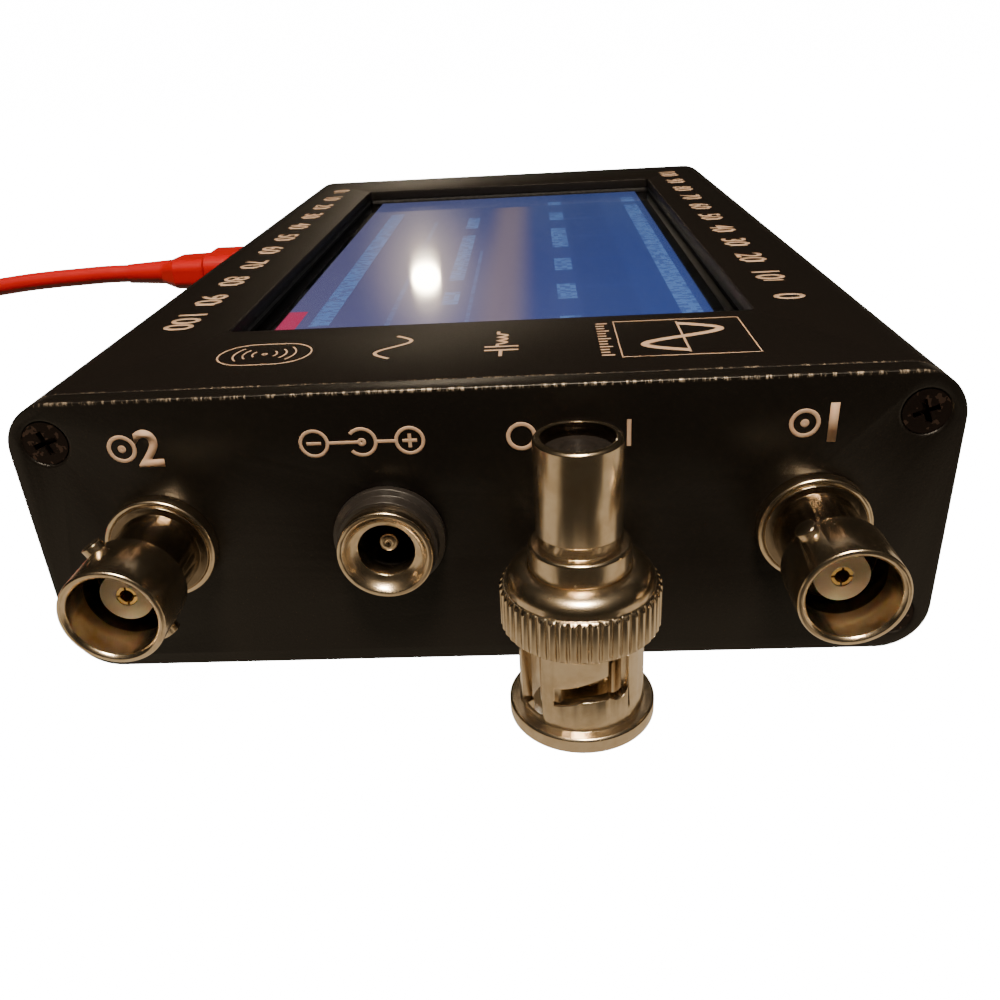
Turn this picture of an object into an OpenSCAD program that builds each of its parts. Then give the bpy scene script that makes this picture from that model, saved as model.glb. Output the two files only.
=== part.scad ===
// Two-port antenna analyzer in a flat aluminium case, with a load plug standing in front
// of it and a data lead in its left wall. Millimetres. The origin is the centre of the
// case's underside, +X is right seen from the connector end, +Y runs away from it, +Z is up.

/* [Case] */
// Overall width of the case
case_w = 90.8; // [86:0.1:100]
// Overall length of the case over both end panels
case_l = 142; // [138:1:160]
// Overall height of the case
case_h = 30.6; // [30:0.1:36]
// Corner radius of the case section
corner_r = 5; // [4.6:0.1:5.6]
// Thickness of the shell walls
wall = 1.8; // [1.4:0.1:2]
// Thickness of each end panel
panel_t = 2.5; // [2:0.1:3]
// Height of the seam between the two shells
seam_z = 16.6; // [15.8:0.1:17.6]
// Height of the locating tongue inside the seam
tongue_h = 1.2; // [0.8:0.1:1.6]
// Thickness of the locating tongue
tongue_t = 0.8; // [0.6:0.1:0.9]
// Width of the ledges that carry the two boards
ledge_w = 2.2; // [1.8:0.1:2.6]
// Height of the ledges that carry the two boards
ledge_h = 1.4; // [1:0.1:1.8]

/* [Panel screws] */
// Distance of a screw from the side of the case
screw_inset_x = 3.8; // [3.6:0.1:4.2]
// Distance of a screw from the top or the bottom of the case
screw_inset_z = 4.1; // [3.8:0.1:4.4]
// Radius of the screw bosses in the corners of the shells
boss_r = 2.8; // [2.5:0.1:3]
// Depth of the drilled screw holes
boss_depth = 14; // [11:1:20]
// Radius of a screw's shank
shank_r = 1.2; // [1:0.05:1.4]
// Length of a screw from the face of the panel
screw_l = 10; // [8:0.5:10.5]
// Radius of a screw's countersunk head
head_r = 2.2; // [2:0.05:2.3]
// Height of a screw's countersunk head
head_h = 1.3; // [1:0.1:1.5]
// Depth of a screw head below the face of the panel
head_sink = 0.1; // [0.05:0.01:0.2]

/* [Window and display] */
// Length of the window in the lid
window_l = 103; // [98:0.5:104]
// Centre of the window across the case
window_x = 0.5; // [-0.5:0.1:1]
// Centre of the window along the case
window_y = 2.1; // [1:0.1:3]
// Rim of the display module beyond each end of the window
module_rim = 1.25; // [1:0.05:2]
// Rim of the display module beyond each side of the window
module_side = 3.85; // [3:0.05:5]
// Thickness of the foam gasket under the lid
gasket_t = 0.4; // [0.3:0.05:0.6]
// Thickness of the touch glass
glass_t = 1.2; // [1:0.1:1.4]
// Thickness of the liquid crystal panel
lcd_t = 2.4; // [2.2:0.1:2.6]
// Thickness of the steel tray's floor
tray_t = 0.5; // [0.4:0.05:0.6]
// Thickness of the steel tray's walls
tray_wall = 0.6; // [0.4:0.05:0.8]
// Width of the display's ribbon
ribbon_w = 26; // [20:1:32]
// Height of the ribbon's socket
ribbon_socket_h = 1.6; // [1.4:0.1:1.8]

/* [Boards] */
// Thickness of each circuit board
board_t = 1.6; // [1.4:0.1:1.8]
// Distance of the main board from the face of the connector panel
main_board_y = 7; // [6.6:0.1:8]
// Distance of the signal board from the face of the connector panel
rf_board_y = 7.5; // [7:0.1:8]
// Length of the signal board
rf_board_l = 61; // [56:1:63]
// Clearance between a board screw's head and the screw boss beside it
board_head_gap = 0.6; // [0.2:0.1:0.8]
// Distance of the front spacers from the face of the connector panel
spacer_front = 21; // [18:1:24]
// Distance of the rear spacers from the face of the connector panel
spacer_rear = 60; // [56:1:64]
// Width of a spacer across its flats
spacer_af = 5; // [4.5:0.1:5.2]
// Radius of a board screw's shank
board_screw_r = 1.1; // [0.9:0.05:1.2]
// Length of a board screw's shank under its head
board_screw_l = 4.5; // [4:0.1:5]
// Radius of a board screw's head
board_head_r = 2; // [1.8:0.1:2.1]
// Height of a board screw's head
board_head_h = 1.5; // [1:0.1:1.6]
// Height of the shield cans on the signal board
can_h = 4; // [3:0.1:5]
// Thickness of the shield cans' sheet
can_t = 0.3; // [0.2:0.05:0.4]
// Distance of the middle of the shield cans from the face of the connector panel
can_middle = 34; // [32:0.5:36]
// Distance of the middle of a shield can from the middle of the case
can_x = 22; // [21:0.5:23]
// Width of the header between the boards
header_w = 20; // [16:1:22]
// Distance of the header from the face of the connector panel
header_front = 36; // [34:0.5:38]

/* [Battery] */
// Width of the battery cell
cell_w = 42; // [36:1:50]
// Distance of the battery cell from the face of the rear panel
cell_rear = 7; // [6:0.5:16]
// Thickness of the battery cell
cell_t = 8; // [7:0.1:8.6]
// Thickness of the foam pad under the cell
cell_pad_t = 0.8; // [0.5:0.1:1]
// Distance of the cell from the face of the connector panel
cell_y = 75; // [73:1:76]

/* [Ports] */
// Distance of each port's axis from the side of the case
port_inset = 13.1; // [12.4:0.1:14.4]
// Distance of the ports, the charge jack and the power button below half the case's height
port_drop = 0.1; // [-0.3:0.05:0.5]
// Length of a port in front of the panel
port_l = 13.5; // [12.5:0.1:14.5]
// Outer radius of a port's mouth
port_r = 4.82; // [4.8:0.01:4.85]
// Inner radius of a port's mouth
port_bore_r = 4.065; // [4.05:0.005:4.1]
// Depth of the port's bore down to the insulator's face
port_bore_l = 3.6; // [3.4:0.1:4.4]
// Radius of the well round the insulator, behind the bore
port_well_r = 3.7; // [3.5:0.05:3.75]
// Radius of the port's flange
port_flange_r = 5.5; // [5.3:0.1:6]
// Thickness of the port's flange
port_flange_h = 1.6; // [1.4:0.1:1.8]
// Radius of the neck behind the mouth
port_neck_r = 4.1; // [4:0.05:4.3]
// Length of the wide mouth section in front of the neck
port_mouth_l = 6; // [5.9:0.1:6.6]
// Radius of the threaded part in the panel
port_thread_r = 4.7; // [4.5:0.05:4.8]
// Radius across the bayonet lugs
lug_reach = 5.55; // [5.3:0.05:5.6]
// Radius of one bayonet lug
lug_r = 1; // [0.9:0.05:1]
// Turn of the right port's lugs from the right hand side
port_one_lug_angle = 128; // [0:1:180]
// Turn of the left port's lugs from the right hand side
port_two_lug_angle = 119; // [0:1:180]
// Radius of the port's insulator
insulator_r = 2.45; // [2.2:0.05:2.6]
// Radius of the port's socket contact
contact_r = 0.95; // [0.9:0.01:1.1]
// Radius of the hole in the socket contact
contact_bore_r = 0.66; // [0.6:0.01:0.7]
// Thickness of the lock washers
washer_t = 0.6; // [0.4:0.1:0.8]
// Thickness of the hexagon nuts
nut_t = 2.2; // [2:0.1:2.6]
// Width of the port nuts across flats
port_nut_af = 12; // [11.6:0.1:12.2]

/* [Charge jack] */
// Distance of the charge jack from the middle of the case
charge_x = 9.25; // [8.8:0.05:9.6]
// Radius of the bright rim
rim_r = 4.7; // [4.5:0.1:4.9]
// Length of the jack in front of the panel
charge_l = 4; // [3.6:0.1:4.4]
// Radius of the plug hole
charge_bore_r = 2.8; // [2.75:0.01:2.9]
// Radius of the centre pin
charge_pin_r = 1; // [0.95:0.01:1.05]
// Depth of the pin's tip behind the mouth
charge_pin_depth = 2.5; // [2.2:0.1:3.4]
// Radius of the thread in the panel
charge_thread_r = 5; // [4.9:0.1:5.2]
// Radius of the black flange
charge_flange_r = 5.6; // [5.4:0.1:6]
// Length of the jack behind the face of the panel
charge_back = 12; // [11:0.1:12.6]
// Width of the jack's nut across flats
charge_nut_af = 13; // [12.4:0.1:13.2]

/* [Power switch] */
// Distance of the power button from the middle of the case
button_x = 9.25; // [8.8:0.05:9.6]
// Radius of the power button
button_r = 3.3; // [2.8:0.1:3.6]
// Height of the button above the panel
button_proud = 0.2; // [0.1:0.05:0.2]
// Travel of the button
button_travel = 1.8; // [1.2:0.1:2.2]
// Width of the switch body
switch_w = 8.5; // [8:0.1:9]
// Length of the switch body
switch_l = 11; // [10.5:0.1:12]

/* [Load plug] */
// Middle of the load plug across the case
load_x = 9.3; // [8:0.1:10]
// Distance of the load plug's axis in front of the panel
load_gap = 8; // [8:0.1:10]
// Radius of the foot rim
foot_r = 7.05; // [6.8:0.05:7.2]
// Height of the foot rim
foot_h = 1.6; // [1.4:0.1:1.8]
// Outer radius of the slotted barrel
barrel_r = 5.95; // [5.85:0.05:6.1]
// Inner radius of the slotted barrel
barrel_bore_r = 4.95; // [4.9:0.01:5]
// Height of the barrel up to the knurl
barrel_h = 10.3; // [10:0.1:10.8]
// Radius of the knurled ring
knurl_r = 7.5; // [7.3:0.05:7.6]
// Height of the knurled ring
knurl_h = 4.3; // [4:0.1:4.6]
// Number of ridges on the knurled ring
knurl_count = 48; // [40:1:56]
// Height of the rounded shoulder over the knurl
shoulder_h = 1.8; // [1.6:0.1:2.2]
// Radius of the stem through the shoulder
stem_r = 4.7; // [4.5:0.05:4.75]
// Height of the stem's top above the floor
stem_top = 18.7; // [18.4:0.1:19]
// Height of the groove between the stem and the upper cylinder
tail_gap = 1.1; // [0.8:0.1:1.4]
// Radius of the upper cylinder
tail_r = 3.95; // [3.9:0.05:4.2]
// Height of the whole load plug
load_h = 28.8; // [28:0.1:30]
// Inner radius of the upper cylinder
tail_bore_r = 3.2; // [3.1:0.05:3.3]
// Outer radius of the spring contact sleeve
sleeve_r = 4.03; // [4:0.01:4.05]
// Thickness of the spring contact sleeve
sleeve_t = 0.6; // [0.5:0.05:0.65]
// Radius of the load plug's centre pin
pin_r = 0.62; // [0.6:0.01:0.64]
// Radius of the resistor inside the load plug
resistor_r = 1.4; // [1.2:0.1:2]

/* [Data lead] */
// Middle of the data socket along the case
usb_y = 10; // [9:0.5:11]
// Width of the data socket
usb_socket_w = 7.6; // [7.4:0.1:7.8]
// Height of the data socket
usb_socket_h = 2.7; // [2.7:0.05:2.9]
// Length of the data socket
usb_socket_l = 5.6; // [5.4:0.1:5.8]
// Width of the small plug's shell
usb_shell_w = 6.85; // [6.7:0.05:6.9]
// Height of the small plug's shell
usb_shell_h = 1.8; // [1.7:0.05:1.85]
// Width of the small plug's grip
grip_w = 11; // [10:0.1:12]
// Height of the small plug's grip
grip_h = 6.4; // [6:0.1:7]
// Length of the small plug's grip
grip_l = 13.6; // [13:0.1:14.6]
// Length of the wide part of the small plug's grip
grip_flare_l = 5.8; // [5:0.1:6.4]
// Diameter of the cord
cord_d = 3; // [2.8:0.1:3.1]
// Radius of the coil's outermost turn
coil_r = 24.1; // [22:0.1:26]
// Distance from turn to turn in the coil
coil_pitch = 3.5; // [3.5:0.05:3.7]
// Turns in each layer of the coil
coil_turns = 3.25; // [2.25:1:4.25]
// Width of the host plug's shell
host_shell_w = 12; // [11.8:0.1:12.2]
// Height of the host plug's shell
host_shell_h = 4.5; // [4.4:0.1:4.6]
// Length of the host plug's shell outside its grip
host_shell_l = 12; // [11:0.5:13]
// Width of the host plug's grip
host_grip_w = 16; // [15:0.5:17]
// Height of the host plug's grip
host_grip_h = 8; // [7.6:0.1:8.4]
// Length of the host plug's grip
host_grip_l = 22; // [18:1:24]
// Width of the strap round the coil
strap_w = 7; // [5:0.5:9]
// Thickness of the strap round the coil
strap_t = 0.5; // [0.4:0.05:0.6]

/* [Hidden] */

$fn = 96;
// Clearance between parts that slide into each other
slip = 0.1;
// Clearance between the cord's parts that lie on each other
ease = 0.3;
// Overreach of a cutting shape past the face that it cuts
cut = 1;

front_y = -case_l / 2;
back_y = case_l / 2;
shell_l = case_l - 2 * panel_t;
inner_w = case_w - 2 * wall;
screw_x = case_w / 2 - screw_inset_x;
port_x = case_w / 2 - port_inset;
port_z = case_h / 2 - port_drop;
screw_z = [screw_inset_z, case_h - screw_inset_z];

// The display hangs under the lid, and the main board slides in right under the upper bosses
gasket_z = case_h - wall - gasket_t;
glass_z = gasket_z - glass_t;
tray_z = glass_z - lcd_t - tray_t;
main_top = case_h - screw_inset_z - boss_r - slip;
main_z = main_top - board_t;
main_w = inner_w - 6 * slip;
main_l = case_l - 2 * main_board_y;
pad_t = tray_z - main_top;

// The display module fits between the heads of the board screws
spacer_x = screw_x - boss_r - board_head_r - board_head_gap;
module_w = 2 * (spacer_x - board_head_r - slip - abs(window_x));
module_l = window_l + 2 * module_rim;
window_w = module_w - 2 * module_side;
module_y = window_y;
ribbon_run = 4;

// The signal board carries the solder tails of the ports
contact_tail_r = contact_bore_r;
rf_top = port_z - contact_tail_r - slip / 2;
rf_z = rf_top - board_t;
spacer_h = main_z - rf_top;
spacer_y = [front_y + spacer_front, front_y + spacer_rear];

// Depths of the pieces behind the panel, measured from its face
port_back = panel_t + washer_t + nut_t + 1;
cell_front = front_y + cell_y;
cell_l = case_l - cell_y - cell_rear;
battery_plug_l = 6;
battery_plug_w = 8;
lead_r = 0.6;
lead_z = wall + cell_pad_t + cell_t * 0.8;
lead_gap = cell_front - (front_y + rf_board_y + rf_board_l - 2) + 1;

// The data socket stands on the main board with its mouth in the wall
socket_x = -case_w / 2 + 1;
socket_z = main_top + usb_socket_h / 2;
grip_x = -case_w / 2 - ease;
relief_x = grip_x - grip_l;

// Turned profile of the wide mouth and of the load plug
shoulder_z = barrel_h + knurl_h;
chamber_r = stem_r + 0.9;
chamber_z = barrel_h + 0.3;
lip_z = shoulder_z + 0.6;
flange_z = chamber_z + ease;
flange_h = 1.4;

// Free stretch of the cord, from the small plug's strain relief to the coil
route = [
    [-66, 10, 25], [-70, 10, 25], [-75, 10, 24.8], [-81, 10, 24.5], [-88, 10, 23.9],
    [-96, 10, 22.8], [-105, 9, 20.6], [-114, 5, 17.2], [-121.5, -0.5, 13.2],
    [-127, -8, 9.2], [-130.8, -16.7, 5.8], [-132, -25, 3.4], [-132, -29, 2.3],
    [-132, -33, 2.1], [-132, -37, 2.1]
];
cord_r = cord_d / 2;
route_end = route[len(route) - 1];
coil_x = route_end[0] + coil_r;
coil_y = route_end[1] - cord_d;
coil_in_r = coil_r - coil_turns * coil_pitch;
layer_z = [route_end[2], route_end[2] + coil_pitch];
loop_steps = 24;
climb_turns = 0.5;
tail_z = host_grip_h / 2;
tail_lead = 4;
tail_drop = 14;
host_relief_l = 8;
host_relief_y = coil_y - tail_lead - tail_drop - cord_d;
host_grip_y = host_relief_y - host_relief_l;
host_shell_y = host_grip_y - host_grip_l;

// ---------------------------------------------------------------- shared shapes

// Flat rectangle with round corners, centred
module round_rect(w, l, r) {
    square([w - 2 * r, l], center = true);
    square([w, l - 2 * r], center = true);
    for (x = [-1, 1]) {
        for (y = [-1, 1]) {
            translate([x * (w / 2 - r), y * (l / 2 - r)]) circle(r = r);
        }
    }
}

// Section of the case, or of its hollow when it is drawn in by a wall
module case_section(inset) {
    translate([0, case_h / 2]) {
        round_rect(case_w - 2 * inset, case_h - 2 * inset, corner_r - inset);
    }
}

// Bar that runs along Y with a flat outline in X and Z
module along_y(y0, y1) {
    translate([0, y1, 0]) rotate([90, 0, 0]) linear_extrude(y1 - y0) children();
}

// Box between two corners
module span(low, high) {
    translate(low) cube(high - low);
}

// Local frame on the connector panel: local Z points out of its face, local Y is up
module on_front(x, z) {
    translate([x, front_y, z]) rotate([90, 0, 0]) children();
}

// The same frame on the rear panel
module on_rear(x, z) {
    translate([x, back_y, z]) rotate([90, 0, 180]) children();
}

// Round bar along local Z
module rod(r, z0, z1) {
    translate([0, 0, z0]) cylinder(r = r, h = z1 - z0);
}

// Hexagon bar along local Z with a round hole
module hex_ring(af, bore_r, z0, z1) {
    difference() {
        translate([0, 0, z0]) cylinder(r = af / sqrt(3), h = z1 - z0, $fn = 6);
        rod(bore_r, z0 - cut, z1 + cut);
    }
}

// Flat washer along local Z
module ring(r, bore_r, z0, z1) {
    difference() {
        rod(r, z0, z1);
        rod(bore_r, z0 - cut, z1 + cut);
    }
}

// ---------------------------------------------------------------- case

module corner_bosses(z) {
    for (x = [-screw_x, screw_x]) {
        translate([x, z]) circle(r = boss_r);
    }
}

// One shell before its openings are cut: walls, ledges and screw bosses
module shell_bar(low_z, high_z, boss_z, ledge_top) {
    intersection() {
        along_y(-shell_l / 2, shell_l / 2) {
            difference() {
                case_section(0);
                case_section(wall);
            }
            intersection() {
                case_section(wall / 2);
                union() {
                    corner_bosses(boss_z);
                    for (s = [-1, 1]) {
                        translate([s * (inner_w / 2 - ledge_w / 2), ledge_top - ledge_h / 2]) {
                            square([ledge_w + wall / 2, ledge_h], center = true);
                        }
                    }
                }
            }
        }
        span([-case_w, -case_l, low_z], [case_w, case_l, high_z]);
    }
}

module boss_holes(z) {
    for (x = [-screw_x, screw_x]) {
        on_front(x, z) rod(shank_r + slip / 2, -panel_t - boss_depth, 0);
        on_rear(x, z) rod(shank_r + slip / 2, -panel_t - boss_depth, 0);
    }
}

module top_shell() {
    tongue_w = case_w - 2 * (wall - tongue_t) + 2 * slip;
    color([0.03, 0.03, 0.03]) difference() {
        shell_bar(seam_z, case_h, screw_z[1], main_z);
        boss_holes(screw_z[1]);
        // Window over the display
        translate([window_x, window_y, gasket_z]) {
            linear_extrude(case_h) round_rect(window_w, window_l, 0.8);
        }
        // Rebate for the tongue of the bottom shell
        span([-tongue_w / 2, -case_l, seam_z - cut], [tongue_w / 2, case_l, seam_z + tongue_h + slip]);
        // Milled room for the data socket, and its mouth in the wall
        span([-case_w / 2 + wall / 2, usb_y - usb_socket_w / 2 - 5 * slip, main_top - cut / 2],
             [-screw_x + boss_r + slip, usb_y + usb_socket_w / 2 + 5 * slip,
              main_top + usb_socket_h + 5 * slip]);
        span([-case_w, usb_y - usb_socket_w / 2 - 2 * slip, main_top - 2 * slip],
             [-screw_x, usb_y + usb_socket_w / 2 + 2 * slip, main_top + usb_socket_h + 2 * slip]);
    }
}

module bottom_shell() {
    color([0.03, 0.03, 0.03]) difference() {
        union() {
            shell_bar(0, seam_z, screw_z[0], rf_z);
            // Tongue that locates the top shell
            for (s = [-1, 1]) {
                translate([s * (inner_w / 2 + tongue_t / 2), 0, seam_z + tongue_h / 2 - wall / 2]) {
                    cube([tongue_t, shell_l, tongue_h + wall], center = true);
                }
            }
        }
        boss_holes(screw_z[0]);
    }
}

module countersink() {
    reach = head_h + head_sink;
    translate([0, 0, -reach]) cylinder(r1 = shank_r + 2 * slip, r2 = head_r + 2 * slip, h = reach + 0.01);
    rod(shank_r + 2 * slip, -panel_t - cut, cut);
}

module connector_panel() {
    color([0.04, 0.04, 0.04]) difference() {
        along_y(front_y, front_y + panel_t) case_section(0);
        for (x = [-screw_x, screw_x]) {
            for (z = screw_z) {
                on_front(x, z) countersink();
            }
        }
        for (x = [-port_x, port_x]) {
            on_front(x, port_z) rod(port_thread_r + slip, -panel_t - cut, cut);
        }
        on_front(-charge_x, port_z) rod(charge_thread_r + slip, -panel_t - cut, cut);
        on_front(button_x, port_z) rod(button_r + 3 * slip, -panel_t - cut, cut);
    }
}

module rear_panel() {
    color([0.04, 0.04, 0.04]) difference() {
        along_y(back_y - panel_t, back_y) case_section(0);
        for (x = [-screw_x, screw_x]) {
            for (z = screw_z) {
                on_rear(x, z) countersink();
            }
        }
    }
}

// Countersunk cross-head screw
module panel_screw() {
    recess_w = 0.55;
    recess_l = 2.5;
    recess_h = 0.9;
    difference() {
        union() {
            translate([0, 0, -head_h - head_sink]) cylinder(r1 = shank_r, r2 = head_r, h = head_h);
            rod(shank_r, -screw_l, -head_h - head_sink);
        }
        for (a = [0, 90]) {
            rotate([0, 0, a + 20]) {
                translate([0, 0, -head_sink]) cube([recess_l, recess_w, 2 * recess_h], center = true);
            }
        }
    }
}

module connector_panel_screws() {
    color([0.08, 0.08, 0.08]) for (x = [-screw_x, screw_x]) {
        for (z = screw_z) {
            on_front(x, z) panel_screw();
        }
    }
}

module rear_panel_screws() {
    color([0.08, 0.08, 0.08]) for (x = [-screw_x, screw_x]) {
        for (z = screw_z) {
            on_rear(x, z) panel_screw();
        }
    }
}

// ---------------------------------------------------------------- display

module display_gasket() {
    color([0.06, 0.06, 0.06]) translate([window_x, module_y, gasket_z]) linear_extrude(gasket_t) {
        difference() {
            square([module_w, module_l], center = true);
            square([window_w + 2 * slip, window_l + 2 * slip], center = true);
        }
    }
}

module touch_glass() {
    color([0.1, 0.12, 0.2]) translate([window_x, module_y, glass_z]) {
        linear_extrude(glass_t) round_rect(module_w, module_l, 0.5);
    }
}

module lcd_panel() {
    color([0.15, 0.25, 0.6]) translate([window_x, module_y, tray_z + tray_t]) {
        linear_extrude(lcd_t) {
            square([module_w - 2 * tray_wall - 2 * slip, module_l - 2 * tray_wall - 2 * slip], center = true);
        }
    }
}

module lcd_tray() {
    color([0.75, 0.76, 0.78]) translate([window_x, module_y, tray_z]) difference() {
        linear_extrude(lcd_t + tray_t) square([module_w, module_l], center = true);
        translate([0, 0, tray_t]) linear_extrude(lcd_t + cut) {
            square([module_w - 2 * tray_wall, module_l - 2 * tray_wall], center = true);
        }
    }
}

// Foam strips between the tray and the main board
module display_pads() {
    pad_w = 6;
    color([0.2, 0.2, 0.22]) for (s = [-1, 1]) {
        translate([window_x + s * module_w / 4, module_y, main_top + pad_t / 2]) {
            cube([pad_w, module_l * 0.9, pad_t], center = true);
        }
    }
}

socket_y = module_y - module_l / 2 - ribbon_run;

// Flat ribbon from the tray's end to its socket on the main board
module display_ribbon() {
    top_z = tray_z + tray_t + 0.4;
    low_z = main_top + ribbon_socket_h / 2;
    start = module_y - module_l / 2;
    color([0.75, 0.45, 0.1]) translate([window_x - ribbon_w / 2, 0, 0]) rotate([90, 0, 90]) {
        linear_extrude(ribbon_w) {
            polygon([
                [start, top_z], [start - 1, top_z], [socket_y + 0.5, low_z], [socket_y, low_z],
                [socket_y, low_z - 0.2], [socket_y + 0.4, low_z - 0.2],
                [start - 1.1, top_z - 0.2], [start, top_z - 0.2]
            ]);
        }
    }
}

module ribbon_socket() {
    socket_l = 4;
    color([0.85, 0.82, 0.72]) span(
        [window_x - ribbon_w / 2 - 2, socket_y - socket_l, main_top],
        [window_x + ribbon_w / 2 + 2, socket_y, main_top + ribbon_socket_h]);
}

// ---------------------------------------------------------------- boards

module spacer_places() {
    for (x = [-spacer_x, spacer_x]) {
        for (y = spacer_y) {
            translate([x, y, 0]) children();
        }
    }
}

module main_board() {
    color([0.05, 0.3, 0.15]) difference() {
        span([-main_w / 2, -main_l / 2, main_z], [main_w / 2, main_l / 2, main_top]);
        spacer_places() rod(board_screw_r + slip, main_z - cut, main_top + cut);
    }
}

// Processor, memory, regulator and coil under the main board
module main_board_chips() {
    chips = [[0, 20, 14, 14, 1.4], [18, 22, 10, 6, 1.2], [-20, 26, 6, 5, 1.5], [-20, 14, 7, 7, 2.6]];
    color([0.07, 0.07, 0.08]) for (c = chips) {
        translate([c[0], c[1], main_z - c[4] / 2]) cube([c[2], c[3], c[4]], center = true);
    }
}

module rf_board() {
    y0 = front_y + rf_board_y;
    color([0.05, 0.3, 0.15]) difference() {
        span([-main_w / 2, y0, rf_z], [main_w / 2, y0 + rf_board_l, rf_top]);
        spacer_places() rod(board_screw_r + slip, rf_z - cut, rf_top + cut);
        // Notches round the charge jack and the power switch
        span([-charge_x - charge_thread_r - ease, y0 - cut, rf_z - cut],
             [-charge_x + charge_thread_r + ease, front_y + charge_back + 2, rf_top + cut]);
        span([button_x - switch_w / 2 - slip, y0 - cut, rf_z - cut],
             [button_x + switch_w / 2 + slip, front_y + panel_t + switch_l + ease, rf_top + cut]);
    }
}

// Crystal, filter blocks and driver on the signal board
module rf_board_parts() {
    parts = [[0, 47, 5, 3.2, 1.2], [-4, 53, 6, 6, 1.6], [5, 54, 4, 5, 1.4]];
    color([0.1, 0.1, 0.1]) for (p = parts) {
        translate([p[0], front_y + p[1], rf_top + p[4] / 2]) cube([p[2], p[3], p[4]], center = true);
    }
}

// One pressed lid over each port's circuit
module rf_shield_cans() {
    can_w = 20;
    can_l = 26;
    can_y = front_y + can_middle;
    color([0.7, 0.7, 0.7]) for (s = [-1, 1]) {
        translate([s * can_x, can_y, rf_top + can_h / 2]) difference() {
            cube([can_w, can_l, can_h], center = true);
            translate([0, 0, -can_t]) {
                cube([can_w - 2 * can_t, can_l - 2 * can_t, can_h], center = true);
            }
        }
    }
}

// Pin header that joins the two boards
module board_header() {
    header_l = 5;
    y0 = front_y + header_front;
    color([0.1, 0.1, 0.1]) span([-header_w / 2, y0, rf_top], [header_w / 2, y0 + header_l, main_z]);
}

module board_spacers() {
    color([0.8, 0.65, 0.3]) spacer_places() {
        hex_ring(spacer_af, board_screw_r + slip / 2, rf_top, main_z);
    }
}

module board_screws() {
    reach = board_screw_l - board_t;
    color([0.7, 0.7, 0.72]) spacer_places() {
        rod(board_head_r, main_top, main_top + board_head_h);
        rod(board_screw_r, main_z - reach, main_top);
        rod(board_head_r, rf_z - board_head_h, rf_z);
        rod(board_screw_r, rf_z, rf_top + reach);
    }
}

// ---------------------------------------------------------------- battery

module battery_pad() {
    color([0.85, 0.85, 0.8]) span(
        [-cell_w / 2 + 2, cell_front + 4, wall],
        [cell_w / 2 - 2, cell_front + cell_l - 4, wall + cell_pad_t]);
}

module battery_cell() {
    color([0.7, 0.72, 0.75]) along_y(cell_front, cell_front + cell_l) {
        translate([0, wall + cell_pad_t + cell_t / 2]) round_rect(cell_w, cell_t, 2);
    }
}

module battery_plug() {
    y1 = cell_front - lead_gap;
    color([0.9, 0.88, 0.8]) span(
        [-battery_plug_w / 2, y1 - battery_plug_l, lead_z - 2],
        [battery_plug_w / 2, y1, rf_z]);
}

module battery_leads() {
    color([0.7, 0.1, 0.1]) for (x = [-1, 1]) {
        translate([x, cell_front, lead_z]) rotate([90, 0, 0]) cylinder(r = lead_r, h = lead_gap);
    }
}

// ---------------------------------------------------------------- ports

// Turned shell with flange, neck and mouth, and its two bayonet lugs
module port_shell(x, lug_angle) {
    bore_s = port_l - port_bore_l;
    floor_s = bore_s - 3;
    taper = port_bore_r - port_well_r;
    mouth_s = port_l - port_mouth_l;
    bevel_w = 0.3;
    step_r = port_flange_r - 0.5;
    body = insulator_r + slip / 2;
    color([0.72, 0.6, 0.42]) on_front(x, port_z) {
        rotate_extrude() polygon([
            [body, -port_back], [body, floor_s],
            [port_well_r, floor_s], [port_well_r, bore_s - taper], [port_bore_r, bore_s],
            [port_bore_r, port_l - bevel_w], [port_bore_r + bevel_w, port_l],
            [port_r - 0.15, port_l], [port_r, port_l - 0.15],
            [port_r, mouth_s], [port_neck_r, mouth_s], [port_neck_r, port_flange_h + 0.1],
            [step_r - 0.1, port_flange_h + 0.1], [step_r - 0.1, port_flange_h - 0.2],
            [step_r, port_flange_h - 0.2], [step_r, port_flange_h],
            [port_flange_r - 0.15, port_flange_h], [port_flange_r, port_flange_h - 0.15],
            [port_flange_r, 0], [port_thread_r, 0], [port_thread_r, -port_back]
        ]);
        for (a = [0, 180]) {
            rotate([0, 0, lug_angle + a]) translate([port_r - 0.4, 0, mouth_s + lug_r + slip]) {
                rotate([0, 90, 0]) cylinder(r = lug_r, h = lug_reach - port_r + 0.4, $fn = 48);
            }
        }
    }
}

module port_insulator(x) {
    face = port_l - port_bore_l;
    color([0.93, 0.87, 0.75]) on_front(x, port_z) {
        ring(insulator_r, contact_r + slip / 2, -port_back, face);
    }
}

// Slotted socket contact with its solder tail on the signal board
module port_contact(x) {
    face = port_l - port_bore_l - slip;
    slit = 0.2;
    color([0.85, 0.65, 0.25]) on_front(x, port_z) difference() {
        union() {
            rod(contact_r, -port_back, face);
            rod(contact_tail_r, -port_back - 4, -port_back);
        }
        rod(contact_bore_r, face - 5, face + cut);
        for (a = [0, 90]) {
            rotate([0, 0, a]) translate([0, 0, face]) cube([3 * contact_r, slit, 6], center = true);
        }
    }
}

module port_washer(x) {
    color([0.7, 0.68, 0.62]) on_front(x, port_z) {
        ring(port_nut_af / 2, port_thread_r + slip, -panel_t - washer_t, -panel_t);
    }
}

module port_nut(x) {
    back = panel_t + washer_t;
    color([0.72, 0.66, 0.52]) on_front(x, port_z) {
        hex_ring(port_nut_af, port_thread_r + slip / 2, -back - nut_t, -back);
    }
}

module port_one_shell() {
    port_shell(port_x, port_one_lug_angle);
}

module port_one_insulator() {
    port_insulator(port_x);
}

module port_one_contact() {
    port_contact(port_x);
}

module port_one_washer() {
    port_washer(port_x);
}

module port_one_nut() {
    port_nut(port_x);
}

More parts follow.
